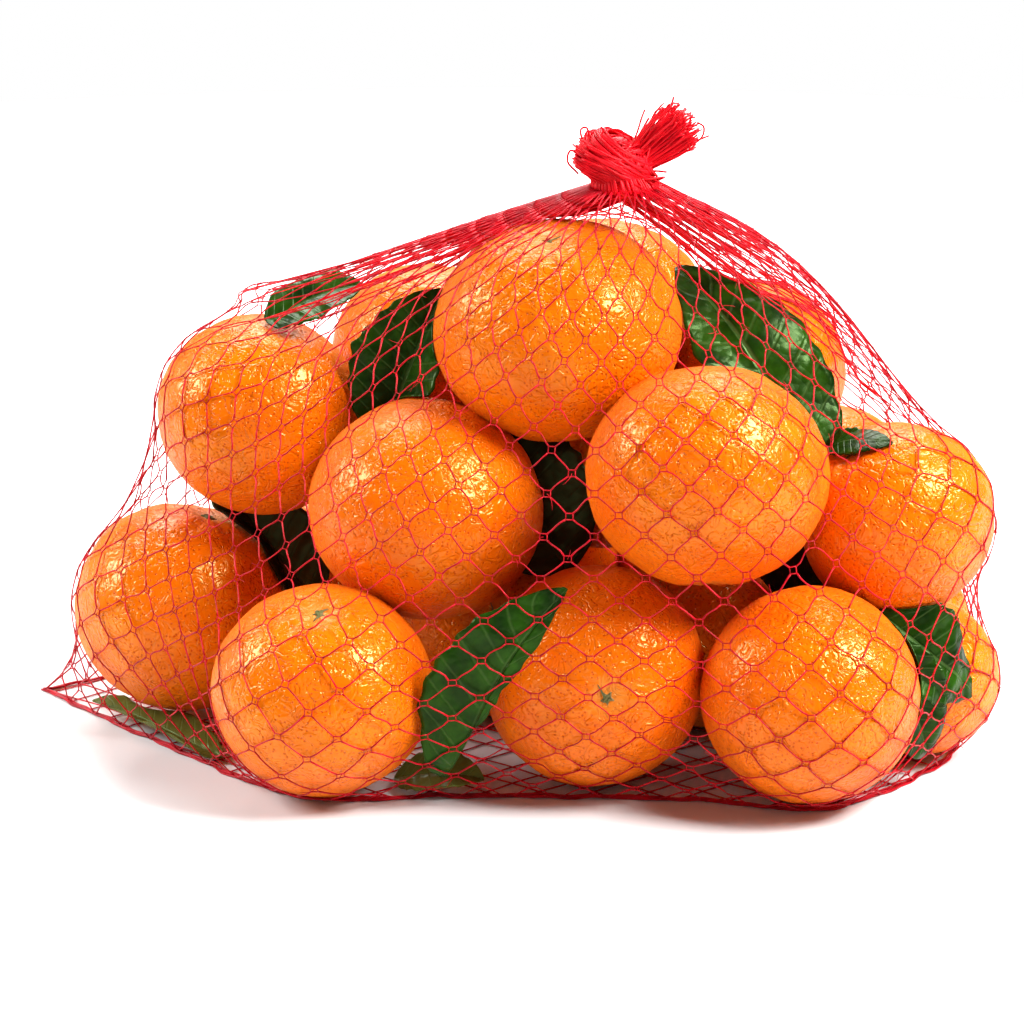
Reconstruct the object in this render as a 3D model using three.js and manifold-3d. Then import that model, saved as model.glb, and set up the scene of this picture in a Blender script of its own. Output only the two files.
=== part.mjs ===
// A net of mandarins: a heap of fruit in a diamond net that is drawn tight and closed by one knot
// with a tail. The net's dense parts and the heap under it are one filled body.
// Units are millimetres, +Z is up and the net rests on z = 0.
import * as THREE from 'three';
import { mergeVertices } from 'three/addons/utils/BufferGeometryUtils.js';
import Module from 'manifold-3d';

const wasm = await Module();
wasm.setup();

// The fruit under the net: centre x, y, z, diameter, height over diameter, stem axis. The leaf bed
// is the flat heap of leaves that the net lies on between the fruit.
const FRUIT = {
  frontLeft: [-55, -62, 31, 64, 0.95, [0, -0.35, 1]],
  frontMiddle: [25, -55, 33, 65, 0.95, [0.1, -1, 0.1]],
  frontRight: [87, -69, 32, 64, 0.98, [0, -0.3, 1]],
  middleLeft: [-25, -28, 76, 69, 0.93, [0.2, -0.3, 1]],
  middleRight: [57, -55, 94, 70, 0.93, [0, -0.4, -1]],
  crown: [14, -13, 127, 73, 0.88, [-0.05, -0.15, 1]],
  leftHigh: [-76, 8, 95, 63, 0.96, [0.3, -0.2, 1]],
  leftLow: [-101, 6, 34, 66, 0.97, [0.3, 0.1, 1]],
  rightHigh: [114, -35, 75, 57, 1, [-0.5, -0.2, 0.8]],
  rightLow: [121, -29, 24, 50, 0.96, [0, 0, 1]],
  innerLeft: [-5, 8, 31, 62, 0.92, [0, -1, 0.3]],
  innerRight: [58, -4, 28, 60, 0.92, [0.3, 0.2, 1]],
  innerHigh: [29, 23, 75, 58, 0.92, [0, 0.2, 1]],
  backLeft: [-59, 53, 30, 64, 0.92, [0.1, 0.3, 1]],
  backMiddle: [3, 66, 30, 64, 0.92, [-0.2, 0.3, 1]],
  backRight: [66, 69, 29, 63, 0.92, [0.3, 0.3, 1]],
  backEnd: [121, 24, 22, 46, 0.96, [0, 0, 1]],
  upperBackLeft: [-24, 40, 104, 64, 0.92, [0.3, 0.5, 1]],
  upperBackMiddle: [31, 68, 111, 66, 0.92, [0.3, 0.5, 1]],
  upperBackRight: [72, 10, 108, 60, 0.94, [0.3, 0.5, 1]],
  leafBed: [-61, 16, 123, 44, 0.3, [0.3, 0, 1]],
  upperBackEnd: [98, 35, 64, 57, 0.94, [0.3, 0.5, 1]],
};
const FRUIT_LIFT = 1;
const FRUIT_DETAIL = 3;

// The net: a tube of diamond cells from the line where it meets the floor up to a gather.
const CELLS_AROUND = 50;
const HALF_ROWS = 31;
const STRAND_LENGTH = 10.4;
const STRAND_REST = 8;
const STRAND_PULL = 0.3;
const SETTLE_STEPS = 900;
const SKIN = 0.9;
const FLOOR_CLEARANCE = 0.8;
const CELL_INSET = 0.8;
const INSET_SHARE = 0.12;
const GATHER = new THREE.Vector3(34, -6, 170);
const GATHER_RADIUS = 10;

// The core: how far it sinks from the net towards the spine of the heap, until it is in the fruit.
// It stays out where the strands run close, along the floor and in the ear.
const SPINE_LOW = new THREE.Vector3(-70, 2, 30);
const SPINE_HIGH = new THREE.Vector3(85, 10, 105);
const SPINE_SHARE = 0.8;
const CORE_LEAST = 22;
const CORE_REACH = 70;
const CORE_STEP = 1;
const CORE_INSET = 3;
const CORE_SPACING = [3, 6];
const CORE_ROWS = [1, 4];
const CORE_EAR = [-138, -122];
const CORE_SMOOTHING = 2;
const FLAT_CELL_DEPTH = 3;

// Where the net meets the floor, from its one pointed ear round the front and back again.
const FLOOR_LINE = [
  [-147, 28], [-105, -22], [-59, -67], [-17, -66], [27, -67], [58, -70], [89, -77], [115, -57],
  [133, -30], [138, -2], [135, 30], [115, 52], [71, 88], [3, 88], [-59, 78], [-107, 52], [-147, 28],
];

// Start of the net: share of its rows, reach from the floor line to the gather, height.
const BELL = [
  [0, 0, 0],
  [0.15, -0.17, 25],
  [0.5, -0.12, 115],
  [0.75, 0.3, 165],
  [0.87, 0.62, 178],
  [1, 1, 170],
];

// The knot: a ribbed wrap round a ribbed bundle, both of gathered strands, with short loops.
const GAP = 0.3;
const KNOT_CENTRE = new THREE.Vector3(31.5, -6, 178);
const KNOT_BUNDLE = [
  [36, -6, 168], [35, -6, 173], [36, -6, 176.5], [39.5, -6.3, 179.5], [44, -6.6, 183],
];
const BUNDLE_RADIUS = 7;
const BUNDLE_RIBS = 15;
const SKIRT_RADIUS = 9.5;
const SKIRT_HEIGHT = 5;
const WRAP_AXIS = new THREE.Vector3(0.8, -0.1, 0.6).normalize();
const WRAP_RING = 7.2;
const WRAP_TUBE = 4.6;
const WRAP_RIBS = 10;
const WRAP_TURN = 1.92 * Math.PI;
const WRAP_PITCH = 3;
const WRAP_STEPS = 10;
const RIB_DEPTH = 0.09;
const LOOP_STRAND = 0.6;
const KNOT_LOOPS = [
  [[23, -7, 180], [20.5, -8, 186], [21.6, -8.5, 190], [23.4, -8, 186], [25, -7, 181]],
  [[26, -6, 182], [25.5, -7, 187], [29, -7, 189.5], [33, -7, 187.5], [34, -6, 182]],
  [[21, -8, 174], [17.5, -10, 178], [18.5, -11, 182], [21, -10, 180], [24, -8, 176]],
  [[34, -9, 181], [36.5, -11, 186], [39, -12, 189]],
];

// The tail: a flared brush of cut strands.
const TAIL_ROOT = new THREE.Vector3(38.5, -6.5, 177.8);
const TAIL_DIRECTION = new THREE.Vector3(0.79, -0.03, 0.61).normalize();
const TAIL_LENGTH = 19;
const TAIL_ROOT_RADIUS = 4.4;
const TAIL_SPREAD = 8;
const TAIL_THICKNESS = 4.4;
const TAIL_RIBS = 20;
const TAIL_RIB_DEPTH = 0.12;
const TAIL_STRANDS = 26;
const TAIL_STRAND = 0.55;
const TAIL_SEED = 17;

const UPRIGHT = new THREE.Vector3(0, 0, 1);

/** Seeded draws between 0 and 1. */
function draws(seed) {
  let state = seed;
  return () => {
    state = (state * 16807) % 2147483647;
    return state / 2147483647;
  };
}

/** One fruit as an oblate ball with a stem axis. */
class Fruit {
  constructor([x, y, z, diameter, ratio, axis]) {
    this.centre = new THREE.Vector3(x, y, z + FRUIT_LIFT);
    this.wide = diameter / 2 + SKIN;
    this.high = (diameter * ratio) / 2 + SKIN;
    this.axis = new THREE.Vector3(...axis).normalize();
    this.offset = new THREE.Vector3();
  }

  /** How far a point lies outside the skin. */
  gapTo(point) {
    this.offset.copy(point).sub(this.centre);
    const distance = this.offset.length();
    const along = this.offset.dot(this.axis) / distance;
    const across = 1 - along * along;
    return distance - 1 / Math.sqrt((along * along) / this.high ** 2 + across / this.wide ** 2);
  }

  /** Moves a point that lies inside the fruit out to its skin. */
  pushOut(point) {
    this.offset.copy(point).sub(this.centre);
    if (this.offset.lengthSq() > this.wide * this.wide) {
      return;
    }
    const along = this.offset.dot(this.axis);
    const across = this.offset.lengthSq() - along * along;
    const level = Math.sqrt((along * along) / this.high ** 2 + across / this.wide ** 2);
    if (level < 1) {
      point.copy(this.centre).addScaledVector(this.offset, 1 / level);
    }
  }
}

const fruits = Object.values(FRUIT).map((row) => new Fruit(row));

/** Index of a junction; the columns close round the tube. */
function junction(column, row) {
  const wrapped = (column + CELLS_AROUND) % CELLS_AROUND;
  return row * CELLS_AROUND + wrapped;
}

/** Start of the net: a loose bell round the whole heap. */
function looseNet() {
  const curve = new THREE.CatmullRomCurve3(
    FLOOR_LINE.map(([x, y]) => new THREE.Vector3(x, y, 0)),
    false,
    'centripetal',
  );
  const points = [];
  for (let row = 0; row <= HALF_ROWS; row += 1) {
    const share = row / HALF_ROWS;
    const next = BELL.findIndex(([end]) => end >= Math.max(share, BELL[1][0]));
    const [low, high] = [BELL[next - 1], BELL[next]];
    const mix = (share - low[0]) / (high[0] - low[0]);
    const reach = THREE.MathUtils.lerp(low[1], high[1], mix);
    const height = THREE.MathUtils.lerp(low[2], high[2], mix);
    for (let column = 0; column < CELLS_AROUND; column += 1) {
      const round = (column + (row % 2) / 2) / CELLS_AROUND;
      const base = curve.getPointAt(round);
      const turn = Math.atan2(base.y - GATHER.y, base.x - GATHER.x);
      const top = new THREE.Vector3(Math.cos(turn), Math.sin(turn), 0);
      top.multiplyScalar(GATHER_RADIUS).add(GATHER);
      const point = base.lerp(top, reach);
      point.z = height;
      points.push(point);
    }
  }
  return points;
}

/** Draws the loose net tight over the fruit and returns its junctions. */
function settledNet() {
  const points = looseNet();
  const strands = [];
  for (let row = 0; row < HALF_ROWS; row += 1) {
    for (let column = 0; column < CELLS_AROUND; column += 1) {
      const shift = row % 2;
      strands.push([junction(column, row), junction(column + shift, row + 1)]);
      strands.push([junction(column, row), junction(column + shift - 1, row + 1)]);
    }
  }
  const firstFree = CELLS_AROUND;
  const firstTop = HALF_ROWS * CELLS_AROUND;
  const pullVector = new THREE.Vector3();
  for (let step = 0; step < SETTLE_STEPS; step += 1) {
    for (const [low, high] of strands) {
      pullVector.copy(points[high]).sub(points[low]);
      const length = pullVector.length();
      if (length > STRAND_REST) {
        const pull = Math.max((length - STRAND_REST) * STRAND_PULL, length - STRAND_LENGTH);
        pullVector.multiplyScalar(pull / length / 2);
        if (low >= firstFree) {
          points[low].add(pullVector);
        }
        if (high < firstTop) {
          points[high].sub(pullVector);
        }
      }
    }
    for (let k = firstFree; k < firstTop; k += 1) {
      for (const fruit of fruits) {
        fruit.pushOut(points[k]);
      }
      points[k].z = Math.max(points[k].z, FLOOR_CLEARANCE);
    }
  }
  return points;
}

/** A closed geometry from a flat list of triangle corners. */
function geometryOf(corners) {
  const geometry = new THREE.BufferGeometry();
  const positions = new Float32Array(corners.flatMap((corner) => corner.toArray()));
  geometry.setAttribute('position', new THREE.BufferAttribute(positions, 3));
  return geometry;
}

/** Way from each junction to the spine of the heap. */
function inwardWays(points) {
  return points.map((point) => point.clone().clamp(SPINE_LOW, SPINE_HIGH).sub(point));
}

/** How far the core lies inside each junction: in the fruit behind it where the net is open. */
function coreDepths(points, ways) {
  const probe = new THREE.Vector3();
  let depths = points.map((point, index) => {
    const row = Math.floor(index / CELLS_AROUND);
    const column = index % CELLS_AROUND;
    const spacing = points[junction(column + 1, row)].distanceTo(points[junction(column - 1, row)]) / 2;
    const open = THREE.MathUtils.smoothstep(spacing, ...CORE_SPACING);
    const raised = THREE.MathUtils.smoothstep(row, ...CORE_ROWS);
    const heaped = THREE.MathUtils.smoothstep(point.x, ...CORE_EAR);
    const farthest = Math.min(CORE_REACH, ways[index].length() * SPINE_SHARE);
    const inFruit = (depth) => {
      probe.copy(ways[index]).setLength(depth).add(point);
      return Math.min(...fruits.map((fruit) => fruit.gapTo(probe))) < -CORE_INSET;
    };
    let depth = Math.min(CORE_LEAST, farthest);
    while (depth < farthest && !inFruit(depth)) {
      depth += CORE_STEP;
    }
    return depth * open * raised * heaped;
  });
  for (let pass = 0; pass < CORE_SMOOTHING; pass += 1) {
    depths = depths.map((depth, index) => {
      const row = Math.floor(index / CELLS_AROUND);
      if (row === 0 || row === HALF_ROWS) {
        return 0;
      }
      const column = index % CELLS_AROUND;
      const shift = row % 2;
      const around = [-1, 1].flatMap((step) => [
        depths[junction(column + shift, row + step)],
        depths[junction(column + shift - 1, row + step)],
      ]);
      return depth / 2 + around.reduce((sum, other) => sum + other, 0) / 8;
    });
  }
  return depths;
}

/** The core: the net sunk into the fruit, with a shallow pyramid in each cell that stays out. */
function netCore() {
  const taut = settledNet();
  const ways = inwardWays(taut);
  const depths = coreDepths(taut, ways);
  const points = taut.map((point, index) => {
    const sunk = ways[index].clone().setLength(depths[index]).add(point);
    if (index >= CELLS_AROUND) {
      sunk.z = Math.max(sunk.z, FLOOR_CLEARANCE);
    }
    return sunk;
  });
  const corners = [];
  for (let row = 1; row < HALF_ROWS; row += 1) {
    for (let column = 0; column < CELLS_AROUND; column += 1) {
      const shift = (row - 1) % 2;
      const cell = [
        junction(column, row - 1),
        junction(column + shift, row),
        junction(column, row + 1),
        junction(column + shift - 1, row),
      ];
      const [low, right, high, left] = cell.map((index) => points[index]);
      if (Math.min(...cell.map((index) => depths[index])) > FLAT_CELL_DEPTH) {
        corners.push(low, right, left, right, high, left);
        continue;
      }
      const middle = new THREE.Vector3().add(low).add(right).add(left).add(high);
      middle.divideScalar(4);
      const across = right.clone().sub(left);
      const up = high.clone().sub(low);
      const inset = Math.min(CELL_INSET, INSET_SHARE * Math.min(across.length(), up.length()));
      middle.addScaledVector(across.cross(up).normalize(), -inset);
      corners.push(low, right, middle, right, high, middle);
      corners.push(high, left, middle, left, low, middle);
    }
  }
  const floorCentre = new THREE.Vector3(0, 0, 0);
  const lastShift = (HALF_ROWS - 1) % 2;
  for (let column = 0; column < CELLS_AROUND; column += 1) {
    const here = points[junction(column, 0)];
    const next = points[junction(column + 1, 0)];
    corners.push(here, next, points[junction(column, 1)], next, here, floorCentre);
    const topHere = points[junction(column, HALF_ROWS)];
    const topNext = points[junction(column + 1, HALF_ROWS)];
    const under = points[junction(column + 1 - lastShift, HALF_ROWS - 1)];
    corners.push(topNext, topHere, under, topHere, topNext, GATHER);
  }
  return geometryOf(corners);
}

/** One mandarin at its true size. */
function mandarin([x, y, z, diameter, ratio, axis]) {
  const ball = new THREE.IcosahedronGeometry(diameter / 2, FRUIT_DETAIL);
  ball.scale(1, 1, ratio);
  const turn = new THREE.Quaternion();
  turn.setFromUnitVectors(UPRIGHT, new THREE.Vector3(...axis).normalize());
  ball.applyQuaternion(turn);
  ball.translate(x, y, z + FRUIT_LIFT);
  return ball;
}

/** The filled net: the mandarins fused on the core. */
function netBody() {
  let body = solidOf(netCore());
  for (const [name, row] of Object.entries(FRUIT)) {
    if (name !== 'leafBed') {
      body = body.add(solidOf(mandarin(row)));
    }
  }
  return geometryFrom(body);
}

/** Outline of a round bundle of strands: a circle with one rib for each strand. */
function ribbedOutline(radius, ribs) {
  const outline = [];
  for (let k = 0; k < ribs * 2; k += 1) {
    const turn = (k / (ribs * 2)) * 2 * Math.PI;
    const reach = radius * (k % 2 ? 1 - RIB_DEPTH : 1 + RIB_DEPTH);
    outline.push(new THREE.Vector2(reach * Math.cos(turn), reach * Math.sin(turn)));
  }
  return new THREE.Shape(outline);
}

/** A bundle or a strand along a smooth line through some points. */
function drawnAlong(outline, points, steps) {
  const extrudePath = new THREE.CatmullRomCurve3(points);
  return new THREE.ExtrudeGeometry(outline, { steps, extrudePath });
}

/** Outline of one strand. */
function strandOutline(radius) {
  const corners = [0, 1, 2, 3, 4].map((k) => (k / 5) * 2 * Math.PI);
  return new THREE.Shape(
    corners.map((turn) => new THREE.Vector2(radius * Math.cos(turn), radius * Math.sin(turn))),
  );
}

/** A solid for joins and cuts. */
function solidOf(geometry) {
  const bare = new THREE.BufferGeometry();
  const source = geometry.index ? geometry.toNonIndexed() : geometry;
  bare.setAttribute('position', source.getAttribute('position'));
  const merged = mergeVertices(bare, 1e-4);
  return new wasm.Manifold(
    new wasm.Mesh({
      numProp: 3,
      vertProperties: merged.attributes.position.array,
      triVerts: new Uint32Array(merged.index.array),
    }),
  );
}

/** The outer shell of a solid as a geometry; hollows shut inside it are filled. */
function geometryFrom(solid) {
  const made = solid.getMesh();
  const lead = Array.from({ length: made.vertProperties.length / 3 }, (_, k) => k);
  const leader = (k) => {
    let head = k;
    while (lead[head] !== head) {
      head = lead[head];
    }
    lead[k] = head;
    return head;
  };
  const faces = [];
  for (let k = 0; k < made.triVerts.length; k += 3) {
    const face = [made.triVerts[k], made.triVerts[k + 1], made.triVerts[k + 2]];
    faces.push(face);
    lead[leader(face[1])] = leader(face[0]);
    lead[leader(face[2])] = leader(face[0]);
  }
  const counts = new Map();
  for (const face of faces) {
    counts.set(leader(face[0]), (counts.get(leader(face[0])) ?? 0) + 1);
  }
  const outer = [...counts].sort((one, other) => other[1] - one[1])[0][0];
  const kept = faces.filter((face) => leader(face[0]) === outer);
  const geometry = new THREE.BufferGeometry();
  geometry.setAttribute('position', new THREE.BufferAttribute(made.vertProperties, 3));
  geometry.setIndex(kept.flat());
  return geometry;
}

/** A large block whose one face lies at a point, square to a direction, on its far side. */
function halfSpace(point, direction) {
  const size = 200;
  const block = new THREE.BoxGeometry(size, size, size);
  block.translate(0, 0, size / 2);
  const turn = new THREE.Quaternion().setFromUnitVectors(UPRIGHT, direction);
  block.applyQuaternion(turn);
  block.translate(point.x, point.y, point.z);
  return solidOf(block);
}

/** The knot: bundle, wrap and a few short loops, flat where it sits and where the tail leaves. */
function netKnot() {
  const seat = new THREE.Vector3(0, 0, GATHER.z + GAP);
  const bundleLine = KNOT_BUNDLE.map((place) => new THREE.Vector3(...place));
  let knot = solidOf(drawnAlong(ribbedOutline(BUNDLE_RADIUS, BUNDLE_RIBS), bundleLine, 8));
  const skirt = new THREE.CylinderGeometry(BUNDLE_RADIUS, SKIRT_RADIUS, SKIRT_HEIGHT, BUNDLE_RIBS);
  skirt.rotateX(Math.PI / 2);
  skirt.translate(GATHER.x, GATHER.y, seat.z + SKIRT_HEIGHT / 2 - GAP);
  knot = knot.add(solidOf(skirt));
  const core = new THREE.SphereGeometry(WRAP_RING + 1, 16, 12);
  core.translate(KNOT_CENTRE.x, KNOT_CENTRE.y, KNOT_CENTRE.z);
  knot = knot.add(solidOf(core));
  const sideways = new THREE.Vector3(0, 1, 0.15).cross(WRAP_AXIS).normalize();
  const forward = WRAP_AXIS.clone().cross(sideways);
  const wrapLine = [];
  for (let k = 0; k <= WRAP_STEPS; k += 1) {
    const share = k / WRAP_STEPS - 0.5;
    const turn = share * WRAP_TURN;
    const place = KNOT_CENTRE.clone().addScaledVector(sideways, WRAP_RING * Math.cos(turn));
    place.addScaledVector(forward, WRAP_RING * Math.sin(turn));
    place.addScaledVector(WRAP_AXIS, share * WRAP_PITCH);
    wrapLine.push(place);
  }
  const wrap = drawnAlong(ribbedOutline(WRAP_TUBE, WRAP_RIBS), wrapLine, WRAP_STEPS * 2);
  knot = knot.add(solidOf(wrap));
  for (const loop of KNOT_LOOPS) {
    const line = loop.map((place) => new THREE.Vector3(...place));
    knot = knot.add(solidOf(drawnAlong(strandOutline(LOOP_STRAND), line, 10)));
  }
  knot = knot.subtract(halfSpace(TAIL_ROOT, TAIL_DIRECTION));
  return geometryFrom(knot.intersect(halfSpace(seat, UPRIGHT)));
}

/** The tail: a ribbed flare with an uneven end and strands that stand out of it. */
function netTail() {
  const random = draws(TAIL_SEED);
  const across = new THREE.Vector3(0, 1, 0).cross(TAIL_DIRECTION).normalize();
  const deep = TAIL_DIRECTION.clone().cross(across);
  const place = (forward, side, depth) =>
    TAIL_ROOT.clone()
      .addScaledVector(TAIL_DIRECTION, forward)
      .addScaledVector(across, side)
      .addScaledVector(deep, depth);
  const flare = new THREE.CylinderGeometry(1, 1, TAIL_LENGTH, TAIL_RIBS * 2, 6);
  const spots = flare.getAttribute('position');
  for (let k = 0; k < spots.count; k += 1) {
    const share = spots.getY(k) / TAIL_LENGTH + 0.5;
    const radius = Math.hypot(spots.getX(k), spots.getZ(k));
    const turn = Math.atan2(spots.getZ(k), spots.getX(k));
    const rib = Math.round((turn / Math.PI) * TAIL_RIBS + TAIL_RIBS * 2);
    const reach = radius * (rib % 2 ? 1 - TAIL_RIB_DEPTH : 1 + TAIL_RIB_DEPTH);
    const wide = THREE.MathUtils.lerp(TAIL_ROOT_RADIUS, TAIL_SPREAD, share) * reach;
    const thick = THREE.MathUtils.lerp(TAIL_ROOT_RADIUS, TAIL_THICKNESS, share) * reach;
    const uneven = 1 + 0.5 * Math.sin(3 * turn) + 0.6 * Math.cos(7 * turn);
    const end = share > 0.99 && radius > 0.5 ? uneven + (rib % 2 ? -0.8 : 0.8) : 0;
    const forward = share * (TAIL_LENGTH - 3) + end;
    const spot = place(forward, wide * Math.cos(turn), -thick * Math.sin(turn));
    spots.setXYZ(k, spot.x, spot.y, spot.z);
  }
  let tail = solidOf(flare);
  for (let k = 0; k < TAIL_STRANDS; k += 1) {
    const turn = (k / TAIL_STRANDS) * 2 * Math.PI;
    const side = Math.cos(turn);
    const depth = Math.sin(turn);
    const reach = TAIL_LENGTH - 2 + 5 * random();
    const wander = 1.6 * (random() - 0.5);
    const line = [
      place(-1, 2.6 * side, 2.2 * depth),
      place(0.45 * reach, 5.1 * side + wander, 3.6 * depth),
      place(reach, (TAIL_SPREAD + 1) * side - wander, 4.6 * depth + wander),
    ];
    tail = tail.add(solidOf(drawnAlong(strandOutline(TAIL_STRAND), line, 4)));
  }
  const start = TAIL_ROOT.clone().addScaledVector(TAIL_DIRECTION, GAP);
  return geometryFrom(tail.intersect(halfSpace(start, TAIL_DIRECTION)));
}

/** A named mesh in its own finish. */
function meshOf(name, geometry, color, roughness) {
  const finish = new THREE.MeshStandardMaterial({ color, roughness, metalness: 0 });
  const mesh = new THREE.Mesh(geometry, finish);
  mesh.name = name;
  return mesh;
}

const group = new THREE.Group();
group.add(meshOf('net_body', netBody(), 0xf07d18, 0.45));
group.add(meshOf('net_knot', netKnot(), 0xe01522, 0.5));
group.add(meshOf('net_tail', netTail(), 0xe01522, 0.5));

// The origin is under the middle of the whole.
const whole = new THREE.Box3().setFromObject(group).getCenter(new THREE.Vector3());
group.position.set(-whole.x, -whole.y, 0);

export default group;
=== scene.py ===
"""A net of mandarins: fruit and leaves under a red diamond net with one knot and a cut tail.

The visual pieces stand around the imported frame. Tables are in millimetres and in the part's own
drawing frame; meshes are in metres in the row frame.
"""

import logging
import math
from dataclasses import dataclass
from enum import Enum

import bpy
import numpy as np
from mathutils import Matrix, Vector
from mathutils.kdtree import KDTree


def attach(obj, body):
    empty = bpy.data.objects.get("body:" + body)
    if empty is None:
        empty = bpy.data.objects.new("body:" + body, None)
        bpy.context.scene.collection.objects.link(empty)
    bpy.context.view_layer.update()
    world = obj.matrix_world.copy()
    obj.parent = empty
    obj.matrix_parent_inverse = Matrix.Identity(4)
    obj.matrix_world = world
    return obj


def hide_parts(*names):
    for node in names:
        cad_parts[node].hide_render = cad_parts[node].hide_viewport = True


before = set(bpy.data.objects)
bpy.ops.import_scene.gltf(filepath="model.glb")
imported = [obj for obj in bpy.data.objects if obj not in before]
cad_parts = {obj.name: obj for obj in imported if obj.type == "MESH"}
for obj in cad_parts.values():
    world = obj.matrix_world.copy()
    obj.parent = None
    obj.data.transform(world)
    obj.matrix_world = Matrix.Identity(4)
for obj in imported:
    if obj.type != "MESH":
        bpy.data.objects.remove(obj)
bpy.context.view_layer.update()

LOG = logging.getLogger("mandarin_net")
MM = 0.001
FRAME_SHIFT = np.array([0.5, 0.182, 0.0])  # from the drawing frame to the row frame, in millimetres
FRUIT_LIFT = 1.0
TINY = 1e-9  # keeps a length from being nothing where it divides
SLIVER = 1e-6  # the same for shares
UP = (0.0, 0.0, 1.0)
TO_VIEWER = (0.0, -1.0, 0.0)

Point = tuple[float, float, float]
Colour = tuple[float, float, float]


class Slot(Enum):
    """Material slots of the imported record."""

    PEEL = "peel"
    NET = "net"
    LEAF = "leaf"


class Side(Enum):
    """Which side of the heap a fruit shows on."""

    FRONT = "front"
    BACK = "back"
    PAD = "pad"


@dataclass(frozen=True)
class Fruit:
    """One mandarin of the heap, or a pad that only holds the net off a leaf.

    Args:
        centre: Middle of the fruit.
        diameter: Width across the stem axis.
        ratio: Height along the stem axis over the diameter.
        stem: Direction of the stem end.
        side: Where the fruit shows.
    """

    centre: Point
    diameter: float
    ratio: float
    stem: Point
    side: Side

    @property
    def axis(self) -> np.ndarray:
        """Unit direction of the stem end."""
        stem = np.array(self.stem, float)
        return stem / np.linalg.norm(stem)

    @property
    def middle(self) -> np.ndarray:
        """Centre with the lift that keeps the net under the fruit."""
        return np.array(self.centre, float) + [0.0, 0.0, FRUIT_LIFT]


HEAP = (
    Fruit((-55, -62, 31), 64, 0.95, (0, -0.35, 1), Side.FRONT),
    Fruit((25, -55, 33), 65, 0.95, (0.1, -1, 0.1), Side.FRONT),
    Fruit((87, -69, 32), 64, 0.98, (0, 0.3, -1), Side.FRONT),
    Fruit((-25, -28, 76), 69, 0.93, (-0.2, 0.3, -1), Side.FRONT),
    Fruit((57, -55, 94), 70, 0.93, (0, -0.4, -1), Side.FRONT),
    Fruit((14, -13, 127), 73, 0.88, (-0.1, -0.27, 1), Side.FRONT),
    Fruit((-76, 8, 95), 63, 0.96, (-0.3, 0.2, -1), Side.FRONT),
    Fruit((-101, 6, 34), 66, 0.97, (0.3, 0.1, 1), Side.FRONT),
    Fruit((114, -35, 75), 57, 1.0, (-0.5, -0.2, 0.8), Side.FRONT),
    Fruit((121, -29, 24), 50, 0.96, (0, 0, 1), Side.BACK),
    Fruit((-5, 8, 31), 62, 0.92, (0, -1, 0.3), Side.BACK),
    Fruit((58, -4, 28), 60, 0.92, (0.3, 0.2, 1), Side.BACK),
    Fruit((29, 23, 75), 58, 0.92, (0, 0.2, 1), Side.BACK),
    Fruit((-59, 53, 30), 64, 0.92, (0.1, 0.3, 1), Side.BACK),
    Fruit((3, 66, 30), 64, 0.92, (-0.2, 0.3, 1), Side.BACK),
    Fruit((66, 69, 29), 63, 0.92, (0.3, 0.3, 1), Side.BACK),
    Fruit((121, 24, 22), 46, 0.96, (0, 0, 1), Side.BACK),
    Fruit((-24, 40, 104), 64, 0.92, (0.3, 0.5, 1), Side.BACK),
    Fruit((31, 68, 111), 66, 0.92, (0.3, 0.5, 1), Side.BACK),
    Fruit((72, 10, 108), 60, 0.94, (0.3, 0.5, 1), Side.BACK),
    Fruit((-61, 16, 123), 44, 0.3, (0.3, 0, 1), Side.PAD),
    Fruit((98, 35, 64), 57, 0.94, (0.3, 0.5, 1), Side.BACK),
)

# Where the net meets the floor, once round from its left corner.
FLOOR_LINE = (
    (-147, 28), (-105, -22), (-59, -67), (-17, -66), (27, -67), (58, -70), (89, -77), (115, -57),
    (133, -30), (138, -2), (135, 30), (115, 52), (71, 88), (3, 88), (-59, 78), (-107, 52), (-147, 28),
)  # fmt: skip
# The loose bell's side: share of the way up, share of the way in to the knot, and height.
BELL = ((0, 0, 0), (0.15, -0.17, 25), (0.5, -0.12, 115), (0.75, 0.3, 165), (0.87, 0.62, 178), (1, 1, 170))
# The middle of the net's last ring, under the knot.
GATHER = np.array([34.0, -6.0, 170.0])
# Thickness along a strand over its usual one.
STRAND_SWELL = (1.12, 0.95, 0.9, 0.95, 1.12)
# Doubled edge on the floor, for each strand: height, place inwards of the floor line, and radius.
EDGE_STRANDS = ((0.6, 0.0, 0.42), (0.85, 0.6, 0.36), (0.5, -0.7, 0.3))
# Flat net under the heap, for each direction: height and slope.
FLAT_STRANDS = ((0.35, 1.0), (0.75, -1.0))


# --------------------------------------------------------------------------- shared mesh helpers


def unit(vectors: np.ndarray) -> np.ndarray:
    """Vectors scaled to a length of one along their last axis."""
    return vectors / np.maximum(np.linalg.norm(vectors, axis=-1, keepdims=True), TINY)


def deselect() -> None:
    """Leaves no object selected, so that an operator acts on the new piece alone."""
    for obj in bpy.context.selected_objects:
        obj.select_set(False)


def joined_as(name: str, parts: list[bpy.types.Object]) -> bpy.types.Object:
    """Joins objects into one piece.

    Args:
        name: The piece's name.
        parts: The objects.

    Returns:
        The piece.
    """
    deselect()
    for part in parts:
        part.select_set(True)
    bpy.context.view_layer.objects.active = parts[0]
    bpy.ops.object.join()
    parts[0].name = parts[0].data.name = name
    return parts[0]


def apply_modifier(obj: bpy.types.Object, name: str, kind: str, **settings: object) -> None:
    """Adds a modifier to the active object and applies it.

    Args:
        obj: The active object.
        name: The modifier's name.
        kind: Its type.
        **settings: Its own properties.
    """
    modifier = obj.modifiers.new(name, kind)
    for key, value in settings.items():
        setattr(modifier, key, value)
    bpy.ops.object.modifier_apply(modifier=name)


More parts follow.
